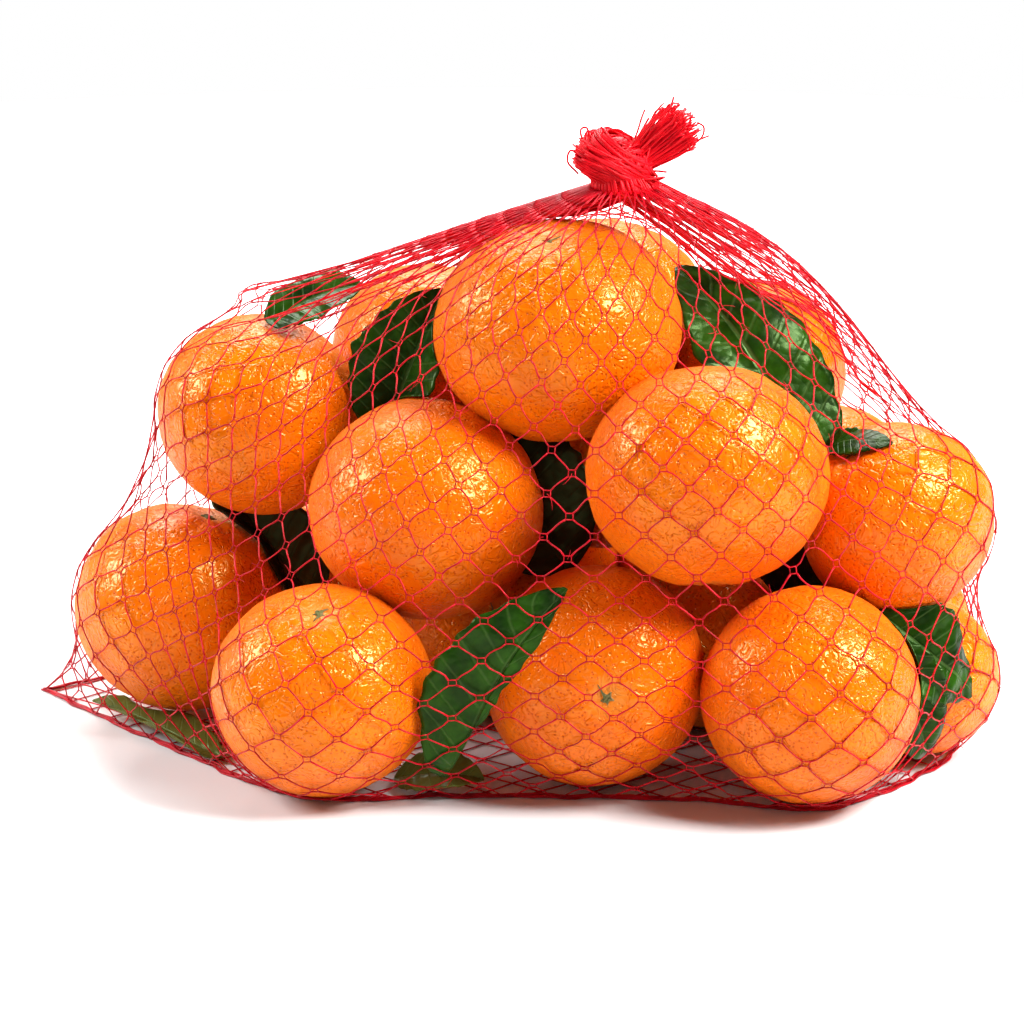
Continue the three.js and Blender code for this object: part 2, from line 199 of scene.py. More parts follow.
def stood(axis: np.ndarray, place: np.ndarray) -> Matrix:
    """The transform that stands a piece made at the origin in its place.

    Args:
        axis: Direction that its up takes.
        place: Where its origin goes, in millimetres of the drawing frame.

    Returns:
        The transform, in metres of the row frame.
    """
    turn = Vector(UP).rotation_difference(Vector(axis)).to_matrix().to_4x4()
    return Matrix.Translation(Vector((place + FRAME_SHIFT) * MM)) @ turn


def vertex_places(mesh: bpy.types.Mesh) -> np.ndarray:
    """The places of a mesh's vertices, one row each."""
    places = np.empty(len(mesh.vertices) * 3)
    mesh.vertices.foreach_get("co", places)
    return places.reshape(-1, 3)


def mark(mesh: bpy.types.Mesh, name: str, value: np.ndarray | float) -> None:
    """Stores a value, or one for each vertex, for the materials to read."""
    layer = mesh.attributes.new(name, "FLOAT", "POINT")
    layer.data.foreach_set("value", np.zeros(len(mesh.vertices)) + value)


def settle_in(obj: bpy.types.Object, material: bpy.types.Material) -> bpy.types.Object:
    """Dresses a finished piece and ties it to the frame.

    Args:
        obj: The piece, with its place in its mesh.
        material: Its finish.

    Returns:
        The same piece.
    """
    obj.data.materials.clear()
    obj.data.materials.append(material)
    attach(obj, "root")
    return obj


class Sweep:
    """Gathers many thin tubes and makes them one mesh."""

    nudge = 1e-4  # keeps a facing direction from lying along its tube

    def __init__(self) -> None:
        """Starts with no tubes."""
        self.places: list[np.ndarray] = []
        self.faces: list[list[int]] = []
        self.count = 0

    def add(self, lines: np.ndarray, radius: np.ndarray | float, sides: int, facing: np.ndarray,
            closed: bool = False) -> None:
        """Adds one tube along each line.

        Args:
            lines: Points, shaped (tubes, points, 3), in millimetres of the drawing frame.
            radius: One radius, or one for each point of each tube.
            sides: Corners of the section.
            facing: A direction for each tube's first corner, shaped (tubes, 3).
            closed: Whether each line returns to its start.
        """
        tubes, steps = lines.shape[:2]
        if closed:
            tangents = unit(np.roll(lines, -1, 1) - np.roll(lines, 1, 1))
        else:
            tangents = unit(np.gradient(lines, axis=1))
        radii = np.broadcast_to(np.asarray(radius, float), (tubes, steps))
        side_way = np.array(facing, float) + self.nudge
        rings = np.empty((tubes, steps, sides, 3))
        turns = np.arange(sides) / sides * 2 * math.pi
        for step in range(steps):
            tangent = tangents[:, step]
            side_way = unit(side_way - (side_way * tangent).sum(-1, keepdims=True) * tangent)
            other = np.cross(tangent, side_way)
            spoke = np.cos(turns)[None, :, None] * side_way[:, None]
            spoke = spoke + np.sin(turns)[None, :, None] * other[:, None]
            rings[:, step] = lines[:, step, None] + spoke * radii[:, step, None, None]
        corner = self.count + np.arange(tubes * steps * sides).reshape(tubes, steps, sides)
        ahead = np.roll(corner, -1, 1) if closed else corner[:, 1:]
        here = corner if closed else corner[:, :-1]
        quads = np.stack([here, np.roll(here, -1, 2), np.roll(ahead, -1, 2), ahead], -1).reshape(-1, 4)
        self.faces.extend(quads.tolist())
        if not closed:
            self.faces.extend(corner[:, 0, ::-1].tolist())
            self.faces.extend(corner[:, -1].tolist())
        self.places.append(rings.reshape(-1, 3))
        self.count += tubes * steps * sides

    def piece(self, name: str) -> bpy.types.Object:
        """Makes one smooth mesh object of all the tubes so far, in the row frame.

        Args:
            name: The piece's name.

        Returns:
            The piece.
        """
        mesh = bpy.data.meshes.new(name)
        corners = (np.concatenate(self.places) + FRAME_SHIFT) * MM
        mesh.from_pydata(corners.tolist(), [], self.faces)
        mesh.polygons.foreach_set("use_smooth", np.ones(len(mesh.polygons), bool))
        mesh.update()
        obj = bpy.data.objects.new(name, mesh)
        bpy.context.scene.collection.objects.link(obj)
        return obj


def smooth_line(knots: np.ndarray, steps: int) -> np.ndarray:
    """Evenly stepped points on a smooth open curve through some points.

    Args:
        knots: Points shaped (lines, knots, 3).
        steps: Points wanted on each line.

    Returns:
        Points shaped (lines, steps, 3).
    """
    first = 2 * knots[:, :1] - knots[:, 1:2]
    last = 2 * knots[:, -1:] - knots[:, -2:-1]
    padded = np.concatenate([first, knots, last], 1)
    share = np.linspace(0, knots.shape[1] - 1 - SLIVER, steps)
    at = share.astype(int)
    t = (share - at)[None, :, None]
    a, b, c, d = (padded[:, at + k] for k in range(4))
    return 0.5 * (2 * b + (c - a) * t + (2 * a - 5 * b + 4 * c - d) * t**2 + (3 * b - a - 3 * c + d) * t**3)


# --------------------------------------------------------------------------- the heap and the net


@dataclass
class Heap:
    """The fruit as oblate balls that nothing may enter."""

    fruit: tuple[Fruit, ...] = HEAP

    def push_out(self, points: np.ndarray, clearance: float, pads: bool = True) -> np.ndarray:
        """Moves points that lie within a fruit's clearance out to it.

        Args:
            points: Points shaped (n, 3), changed in place.
            clearance: Distance to keep from the skin.
            pads: Whether the pads count.

        Returns:
            The same points.
        """
        for one in self.fruit:
            if one.side is Side.PAD and not pads:
                continue
            wide = one.diameter / 2 + clearance
            high = one.diameter * one.ratio / 2 + clearance
            offset = points - one.middle
            near = np.flatnonzero((offset * offset).sum(1) < max(wide, high) ** 2)
            if not len(near):
                continue
            offset = offset[near]
            along = offset @ one.axis
            across = (offset * offset).sum(1) - along**2
            level = np.sqrt(along**2 / high**2 + across / wide**2)
            inside = level < 1
            points[near[inside]] = one.middle + offset[inside] / np.maximum(level[inside], SLIVER)[:, None]
        return points


@dataclass
class DrawnNet:
    """The net's junctions: a tube of diamond cells drawn tight over the heap."""

    columns: int = 50
    half_rows: int = 31
    strand_length: float = 10.4
    strand_rest: float = 8.0
    strand_pull: float = 0.3
    settle_steps: int = 900
    skin: float = 0.9
    floor_clearance: float = 0.8
    gather_radius: float = 10.0
    floor_steps: int = 60

    def floor_points(self) -> tuple[np.ndarray, np.ndarray]:
        """The floor line as close points on a smooth curve.

        Returns:
            The points, and each one's share of the line's length.
        """
        spots = [np.array(spot, float) for spot in FLOOR_LINE]
        padded = [2 * spots[0] - spots[1], *spots, 2 * spots[-1] - spots[-2]]
        share = np.linspace(0, 1, self.floor_steps, endpoint=False)[:, None]
        line = []
        for a, b, c, d in zip(padded, padded[1:], padded[2:], padded[3:]):
            before, here, after = (math.sqrt(np.linalg.norm(q - p)) for p, q in ((a, b), (b, c), (c, d)))
            leave = ((b - a) / before - (c - a) / (before + here) + (c - b) / here) * here
            reach = ((c - b) / here - (d - b) / (here + after) + (d - c) / after) * here
            line.append(b + leave * share + (3 * (c - b) - 2 * leave - reach) * share**2
                        + (2 * (b - c) + leave + reach) * share**3)
        line.append(spots[-1][None])
        points = np.concatenate(line)
        reach = np.r_[0, np.cumsum(np.linalg.norm(np.diff(points, axis=0), axis=1))]
        return points, reach / reach[-1]

    def loose(self) -> np.ndarray:
        """A loose bell round the whole heap, shaped (rows, columns, 3)."""
        line, share = self.floor_points()
        bell = np.array(BELL, float)
        rows = []
        for row in range(self.half_rows + 1):
            level = row / self.half_rows
            reach = np.interp(level, bell[:, 0], bell[:, 1])
            height = np.interp(level, bell[:, 0], bell[:, 2])
            round_share = (np.arange(self.columns) + (row % 2) / 2) / self.columns
            base = np.stack([np.interp(round_share, share, line[:, k]) for k in (0, 1)], 1)
            turn = np.arctan2(base[:, 1] - GATHER[1], base[:, 0] - GATHER[0])
            top = GATHER[:2] + self.gather_radius * np.stack([np.cos(turn), np.sin(turn)], 1)
            rows.append(np.c_[base + (top - base) * reach, np.full(self.columns, height)])
        return np.array(rows)

    def strands(self) -> list[tuple[np.ndarray, np.ndarray]]:
        """Lower and upper junctions of the strands, in four sets that share no junction."""
        sets = []
        for start in (0, 1):
            for step in (0, -1):
                rows = np.arange(start, self.half_rows, 2)
                row, column = np.meshgrid(rows, np.arange(self.columns), indexing="ij")
                low = (row * self.columns + column).ravel()
                high = ((row + 1) * self.columns + (column + start + step) % self.columns).ravel()
                sets.append((low, high))
        return sets

    def drawn(self, heap: Heap) -> np.ndarray:
        """The junctions once the net is tight.

        Args:
            heap: What it is drawn over.

        Returns:
            The junctions, shaped (rows, columns, 3).
        """
        points = self.loose().reshape(-1, 3)
        first, top = self.columns, self.half_rows * self.columns
        sets = self.strands()
        for _ in range(self.settle_steps):
            for low, high in sets:
                way = points[high] - points[low]
                length = np.linalg.norm(way, axis=1)
                slack = (length - self.strand_rest) * self.strand_pull
                short = np.maximum(slack, length - self.strand_length)
                pull = np.where(length > self.strand_rest, short, 0) / np.maximum(length, TINY) / 2
                way *= pull[:, None]
                points[low] += way * (low >= first)[:, None]
                points[high] -= way * (high < top)[:, None]
            free = points[first:top]
            heap.push_out(free, self.skin)
            free[:, 2] = np.maximum(free[:, 2], self.floor_clearance)
        return points.reshape(self.half_rows + 1, self.columns, 3)

    def normals(self, points: np.ndarray) -> np.ndarray:
        """Outward direction at each junction, from its neighbours.

        Args:
            points: The junctions, shaped (rows, columns, 3).

        Returns:
            Unit directions of the same shape.
        """
        rows = np.arange(self.half_rows + 1)[:, None]
        columns = np.arange(self.columns)[None, :]
        shift = rows % 2
        above = np.minimum(rows + 1, self.half_rows)
        below = np.maximum(rows - 1, 0)
        right, left = (columns + shift) % self.columns, (columns + shift - 1) % self.columns
        up = points[above, right] + points[above, left] - points[below, right] - points[below, left]
        across = np.roll(points, -1, 1) - np.roll(points, 1, 1)
        return unit(np.cross(across, up))


@dataclass
class NetPiece:
    """The visible net: strands, junction boxes, floor strands and loose fibres."""

    heap: Heap
    net: DrawnNet
    strand_radius: float = 0.25
    strand_range: tuple[float, float] = (0.85, 1.15)
    box_reach: float = 1.4
    box_share: float = 0.15
    box_strand: float = 0.95
    box_lift: float = 0.1
    clearance: float = 0.8
    floor_height: float = 0.3
    wave: float = 0.2
    ripple: float = 0.6
    edge_steps: int = 420
    flat_pitch: float = 13.6
    flat_slant: float = 0.85
    flat_half: float = 150.0
    flat_reach: float = 260.0
    flat_steps: int = 241
    flat_radius: float = 0.26
    fibre_count: int = 520
    fibre_length: tuple[float, float] = (1.6, 4.6)
    fibre_radii: tuple[float, ...] = (0.13, 0.12, 0.1, 0.08, 0.04)
    seed: int = 5

    def __post_init__(self) -> None:
        """Draws the net tight once for all of its pieces."""
        self.junctions = self.net.drawn(self.heap)
        self.outward = self.net.normals(self.junctions)
        self.draws = np.random.default_rng(self.seed)

    def surface(self) -> tuple[np.ndarray, np.ndarray]:
        """Spots on the net, at and between its junctions.

        Returns:
            The spots and their outward directions, one row each.
        """
        points, outward = self.junctions, self.outward
        turned = np.roll(points, -1, 1), np.roll(outward, -1, 1)
        above = np.roll(points, -1, 0)[:-1], np.roll(outward, -1, 0)[:-1]
        spots = [points, (points + turned[0]) / 2, (points[:-1] + above[0]) / 2]
        ways = [outward, unit(outward + turned[1]), unit(outward[:-1] + above[1])]
        return (np.concatenate([spot.reshape(-1, 3) for spot in spots]),
                np.concatenate([way.reshape(-1, 3) for way in ways]))

    def rest(self, lines: np.ndarray, clearance: float) -> np.ndarray:
        """Keeps lines off the fruit and above the floor.

        Args:
            lines: Points shaped (lines, points, 3).
            clearance: Distance to keep from the skin of the fruit.

        Returns:
            The moved lines.
        """
        flat = self.heap.push_out(lines.reshape(-1, 3).copy(), clearance)
        flat[:, 2] = np.maximum(flat[:, 2], self.floor_height)
        return flat.reshape(lines.shape)

    def reach_at(self, points: np.ndarray) -> np.ndarray:
        """Half diagonal of the box at each junction, less where the cells are drawn shut."""
        across = np.linalg.norm(np.roll(points, -1, 1) - points, axis=-1)
        return np.minimum(self.box_reach, across * self.box_share)

    def strand_lines(self, low_row: int, high_row: int) -> tuple[np.ndarray, np.ndarray]:
        """The strands that start in some rows.

        Args:
            low_row: The first of the rows.
            high_row: The row after the last one.

        Returns:
            Their lines and facing directions.
        """
        points, outward, columns = self.junctions, self.outward, self.net.columns
        reach = self.reach_at(points)
        steps = len(STRAND_SWELL)
        share = np.linspace(0, 1, steps)[None, :, None]
        bulge = np.sin(np.linspace(0, math.pi, steps))[None, :, None]
        ripple = np.sin(np.linspace(0, 2 * math.pi, steps))[None, :, None]
        lines, facings = [], []
        for row in range(low_row, high_row):
            for step in (0, -1):
                column = np.arange(columns)
                upper = (column + row % 2 + step) % columns
                start, end = points[row, column], points[row + 1, upper]
                way = unit(end - start)
                if row > 0:
                    start = start + way * reach[row, column, None]
                if row + 1 < self.net.half_rows:
                    end = end - way * reach[row + 1, upper, None]
                facing = unit(outward[row, column] + outward[row + 1, upper])
                side = np.cross(way, facing)
                swing = self.draws.normal(0, self.wave, (columns, 1, 1)) * bulge
                swing = swing + self.draws.normal(0, self.wave * self.ripple, (columns, 1, 1)) * ripple
                lines.append(start[:, None] + (end - start)[:, None] * share + side[:, None] * swing)
                facings.append(facing)
        return self.rest(np.concatenate(lines), self.clearance), np.concatenate(facings)

    def box_lines(self, low_row: int, high_row: int) -> tuple[np.ndarray, np.ndarray]:
        """The junction boxes in some rows.

        Args:
            low_row: The first of the rows.
            high_row: The row after the last one.

        Returns:
            Their closed square lines and facing directions.
        """
        points, columns = self.junctions, self.net.columns
        reach = self.reach_at(points)
        squares, facings = [], []
        for row in range(max(low_row, 1), min(high_row, self.net.half_rows)):
            column = np.arange(columns)
            right = (column + row % 2) % columns
            left = (column + row % 2 - 1) % columns
            corners = []
            for other_row, other in ((row + 1, right), (row + 1, left), (row - 1, left), (row - 1, right)):
                way = unit(points[other_row, other] - points[row, column])
                corners.append(points[row, column] + way * reach[row, column, None])
            squares.append(np.stack(corners, 1))
            facings.append(self.outward[row, column])
        return self.rest(np.concatenate(squares), self.clearance + self.box_lift), np.concatenate(facings)

    def band(self, name: str, low_row: int, high_row: int) -> bpy.types.Object:
        """One band of the net, with the strands and boxes of some rows.

        Args:
            name: The piece's name.
            low_row: The first of the rows.
            high_row: The row after the last one.

        Returns:
            The piece.
        """
        sweep = Sweep()
        lines, facings = self.strand_lines(low_row, high_row)
        thick = self.strand_radius * self.draws.uniform(*self.strand_range, (len(lines), 1))
        sweep.add(lines, thick * np.array([STRAND_SWELL]), 5, facings)
        squares, facings = self.box_lines(low_row, high_row)
        sweep.add(squares, self.strand_radius * self.box_strand, 4, facings, closed=True)
        return sweep.piece(name)

    def edge_strands(self, sweep: Sweep) -> None:
        """Adds the doubled edge where the net meets the floor.

        Args:
            sweep: Where the tubes go.
        """
        line, share = self.net.floor_points()
        at = np.linspace(0, 1, self.edge_steps)
        for lift, drift, thick in EDGE_STRANDS:
            path = np.stack([np.interp(at, share, line[:, k]) for k in (0, 1)], 1)
            inward = unit(np.array([0.0, 8.0]) - path)
            sway = drift + 0.5 * np.sin(at * 173 + drift * 9) + 0.3 * np.sin(at * 411 + lift)
            path = path + inward * sway[:, None]
            height = lift + 0.15 * np.sin(at * 290 + lift * 20)
            sweep.add(np.c_[path, height][None], thick, 5, np.array([UP]))

    def flat_strands(self, sweep: Sweep) -> None:
        """Adds the flat net under the heap, cut off at the floor line.

        Args:
            sweep: Where the tubes go.
        """
        line = self.net.floor_points()[0]
        x = np.linspace(-self.flat_half, self.flat_half, self.flat_steps)
        for height, slope in FLAT_STRANDS:
            for offset in np.arange(-self.flat_reach, self.flat_reach, self.flat_pitch):
                y = slope * x * self.flat_slant + offset
                kept = self.inside(np.stack([x, y], 1), line)
                for run in np.split(np.arange(len(x)), np.flatnonzero(np.diff(kept.astype(int))) + 1):
                    if kept[run[0]] and len(run) > 4:
                        sway = 0.4 * np.sin(x[run] * 0.31 + offset)
                        path = np.c_[x[run], y[run] + sway, np.full(len(run), height)]
                        sweep.add(path[None, ::2], self.flat_radius, 4, np.array([UP]))

    def floor_strands(self) -> bpy.types.Object:
        """The edge on the floor and the flat net as one piece."""
        sweep = Sweep()
        self.edge_strands(sweep)
        self.flat_strands(sweep)
        return sweep.piece("net_floor_strands")

    @staticmethod
    def inside(spots: np.ndarray, outline: np.ndarray) -> np.ndarray:
        """Which spots lie inside a closed outline.

        Args:
            spots: The spots, one row each.
            outline: The outline's points, one row each.

        Returns:
            True for each spot inside it.
        """
        here, ahead = outline, np.roll(outline, -1, 0)
        x, y = spots[:, 0, None], spots[:, 1, None]
        spans = (here[:, 1] > y) != (ahead[:, 1] > y)
        rise = np.where(ahead[:, 1] == here[:, 1], TINY, ahead[:, 1] - here[:, 1])
        cross = here[:, 0] + (y - here[:, 1]) * (ahead[:, 0] - here[:, 0]) / rise
        return (spans & (x < cross)).sum(1) % 2 == 1

    def fibres(self) -> bpy.types.Object:
        """Short loose fibres that stand off the junctions."""
        count = self.fibre_count
        rows = self.draws.integers(1, self.net.half_rows - 1, count)
        columns = self.draws.integers(0, self.net.columns, count)
        root = self.junctions[rows, columns]
        outward = self.outward[rows, columns]
        way = unit(self.draws.normal(0, 1, (count, 3)) + outward * 0.3)
        way = unit(way - 0.7 * (way * outward).sum(-1, keepdims=True) * outward)
        curl = unit(np.cross(way, outward)) * self.draws.normal(0, 1, (count, 1))
        length = self.draws.uniform(*self.fibre_length, (count, 1))
        steps = [root + way * length * s + curl * (s * s) * length * 0.5 for s in (0, 0.3, 0.6, 0.85, 1.0)]
        sweep = Sweep()
        sweep.add(self.rest(np.stack(steps, 1), self.clearance), np.array([self.fibre_radii]), 3, outward)
        return sweep.piece("net_fibres")


# --------------------------------------------------------------------------- fruit


@dataclass
class Mandarins:
    """The fruit: oblate balls with a stem dimple, broad lumps and a pebbled skin.

    The seed draws each fruit's tone. It was picked so that the fruit in front come near the real ones.
    """

    heap: Heap
    front_level: int = 6
    back_level: int = 5
    dimple_depths: tuple[float, float] = (1.9, 0.9)
    dimple_angles: tuple[float, float] = (0.19, 0.42)
    furrows: int = 9
    furrow_depth: float = 0.28
    furrow_angle: float = 0.3
    furrow_width: float = 0.16
    blossom_depth: float = 0.9
    blossom_width: float = 0.3
    shoulder: float = 0.42
    lump_size: float = 0.024  # in metres, as the texture takes it
    lump_height: float = 1.5
    pebble_size: float = 0.0046
    pebble_height: float = 0.5
    seed: int = 731

    def sunk(self, polar: np.ndarray, azimuth: np.ndarray, tone: float) -> np.ndarray:
        """How far the skin lies below a plain ball, in millimetres.

        Args:
            polar: Angles from the stem end.
            azimuth: Angles round the stem axis.
            tone: The fruit's own number, which turns its furrows.

        Returns:
            The depth at each spot.
        """
        near, wide = (deep * np.exp(-((polar / angle) ** 2))
                      for deep, angle in zip(self.dimple_depths, self.dimple_angles))
        ring = np.exp(-(((polar - self.furrow_angle) / self.furrow_width) ** 2))
        furrow = self.furrow_depth * np.cos(azimuth * self.furrows + tone * 40) * ring
        blossom = self.blossom_depth * np.exp(-(((math.pi - polar) / self.blossom_width) ** 2))
        shoulder = self.shoulder * np.sin(polar) ** 4 * np.cos(azimuth * 2 + tone * 17)
        return near + wide + furrow + blossom - shoulder

    def shaped(self, one: Fruit, level: int, tone: float) -> bpy.types.Object:
        """One mandarin in its place.

        Args:
            one: Its place and size.
            level: Subdivisions of the ball it starts from.
            tone: How deep its colour is, from 0 to 1.

        Returns:
            The finished fruit.
        """
        deselect()
        radius = one.diameter / 2 * MM
        bpy.ops.mesh.primitive_ico_sphere_add(subdivisions=level, radius=radius, location=(0, 0, 0))
        ball = bpy.context.active_object
        places = vertex_places(ball.data)
        polar = np.arccos(np.clip(places[:, 2] / radius, -1, 1))
        azimuth = np.arctan2(places[:, 1], places[:, 0])
        places *= (1 - self.sunk(polar, azimuth, tone) * MM / radius)[:, None]
        places[:, 2] *= one.ratio
        ball.data.vertices.foreach_set("co", places.ravel())
        mark(ball.data, "stem", polar / math.pi)
        mark(ball.data, "tone", tone)
        ball.data.transform(stood(one.axis, one.middle))
        for name, size, height in (
            ("broad_lumps", self.lump_size, self.lump_height),
            ("pebbles", self.pebble_size, self.pebble_height),
        ):
            texture = bpy.data.textures.get(name) or bpy.data.textures.new(name, "CLOUDS")
            texture.noise_scale = size
            apply_modifier(ball, name, "DISPLACE", texture=texture, texture_coords="LOCAL",
                           strength=height * MM, mid_level=0.5)
        bpy.ops.object.shade_smooth()
        return ball

    def joined(self, name: str, side: Side, level: int) -> bpy.types.Object:
        """All the mandarins of one side as one piece.

        Args:
            name: The piece's name.
            side: The side of the heap.
            level: Subdivisions of the ball each starts from.

        Returns:
            The piece.
        """
        draws = np.random.default_rng(self.seed)
        tones = [float(draws.uniform()) for _ in self.heap.fruit]
        toned = zip(self.heap.fruit, tones)
        return joined_as(name, [self.shaped(one, level, tone) for one, tone in toned if one.side is side])


@dataclass
class Calyxes:
    """The small green stars at the stem ends."""

    heap: Heap
    radius: float = 3.1
    corners: int = 20
    lobes: int = 5
    lobe_depth: float = 0.28
    insets: tuple[tuple[float, float], ...] = ((0.9, 0.45), (0.5, -0.25), (0.25, 0.7))
    thickness: float = 0.55
    sunk: float = 2.6
    size_range: tuple[float, float] = (0.85, 1.15)
    seed: int = 23

    def star(self, spin: float, swell: float) -> bpy.types.Object:
        """One star of lobes round a stem scar, lying at the origin.

        Args:
            spin: Turn of the lobes in radians.
            swell: Size over the usual one.

        Returns:
            The star.
        """
        deselect()
        size = self.radius * swell * MM
        bpy.ops.mesh.primitive_circle_add(vertices=self.corners, radius=size, fill_type="NGON")
        star = bpy.context.active_object
        for k, vertex in enumerate(star.data.vertices):
            wave = math.cos(k / self.corners * self.lobes * 2 * math.pi)
            lobe = 1 - self.lobe_depth + self.lobe_depth * wave + 0.07 * math.sin(k * 2.3 + spin)
            vertex.co = Matrix.Rotation(spin, 3, "Z") @ (vertex.co * lobe)
        bpy.ops.object.mode_set(mode="EDIT")
        bpy.ops.mesh.select_all(action="SELECT")
        for width, depth in self.insets:
            bpy.ops.mesh.inset(thickness=width * MM * swell, depth=depth * MM)
        bpy.ops.object.mode_set(mode="OBJECT")
        apply_modifier(star, "body", "SOLIDIFY", thickness=self.thickness * MM, offset=-1)
        apply_modifier(star, "soft", "SUBSURF", levels=1, render_levels=1)
        bpy.ops.object.shade_smooth()
        return star

    def joined(self, name: str) -> bpy.types.Object:
        """A star on the stem end of every mandarin, as one piece.

        Args:
            name: The piece's name.

        Returns:
            The piece.
        """
        draws = np.random.default_rng(self.seed)
        stars = []
        for one in self.heap.fruit:
            spin, swell = float(draws.uniform(0, 6)), float(draws.uniform(*self.size_range))
            if one.side is Side.PAD:
                continue
            star = self.star(spin, swell)
            foot = one.middle + one.axis * (one.diameter * one.ratio / 2 - self.sunk)
            star.data.transform(stood(one.axis, foot))
            stars.append(star)
        return joined_as(name, stars)


# --------------------------------------------------------------------------- leaves


@dataclass(frozen=True)
class Leaf:
    """One leaf's place and shape.

    Args:
        base: Where its stalk was.
        tip: Its point.
        facing: The way its upper face looks.
        width: Its widest part.
        bend: Rise of its middle over its length.
        fold: Slope of its halves up from the midrib.
        seed: Seed of its waves, and its tone: 7 is olive and 9 a dark brown sheet deep in a gap, painted
            shade for the shadow there.
    """

    base: Point
    tip: Point
    facing: Point
    width: float
    bend: float
    fold: float
    seed: int


# Seed of the dark brown sheets put deep in the gaps as painted shade; a leaf's tone is its seed over this.
PAINTED_SHADE_LEAF = 9
LEAVES = (
    Leaf((-40.5, -6, 92), (-19, 2, 136), (-0.5, -0.8, 0.3), 31, 0.05, 0.6, 1),
    Leaf((97, -30, 83), (47.4, 2, 142), (0.35, -0.85, 0.6), 38, 0.08, 0.12, 2),
    Leaf((91.5, -31, 96), (112, -44, 98), (0.1, -0.6, 0.8), 12, 0.1, 0.3, 3),
    Leaf((107, -54, 53), (141, -50, 27), (0.35, -0.95, 0.35), 27, 0.08, 0.25, 4),
    Leaf((-18, -80, 5), (16, -85, 70), (-0.62, -0.75, 0.35), 30, 0.05, 0.7, 5),
    Leaf((-74, 4, 126), (-44, 12, 135), (-0.1, -0.5, 1), 22, 0.06, 0.15, 6),
    Leaf((-85, -36, 3), (-131, 4, 4), (0.1, -0.5, 1), 18, 0.03, 0.15, 7),
    Leaf((-34, -58, 4), (-8, -66, 5), (0, -0.6, 1), 16, 0.08, 0.2, 8),
    Leaf((112, -62, 47), (125, -56, 8), (0.3, -0.95, 0.2), 22, 0.06, 0.2, 4),
    # The last three are dark brown sheets deep in the gaps between fruit: painted shade for the shadow
    # there.
    Leaf((18, -17, 54), (-6, -2, 101), (0.05, -1, 0.3), 40, 0.04, 0.15, 9),
    Leaf((76, -12, 36), (108, -12, 63), (0.1, -1, 0.3), 26, 0.04, 0.15, 9),
    Leaf((-58, 6, 38), (-90, 16, 76), (0.1, -1, 0.3), 30, 0.04, 0.15, 9),
)


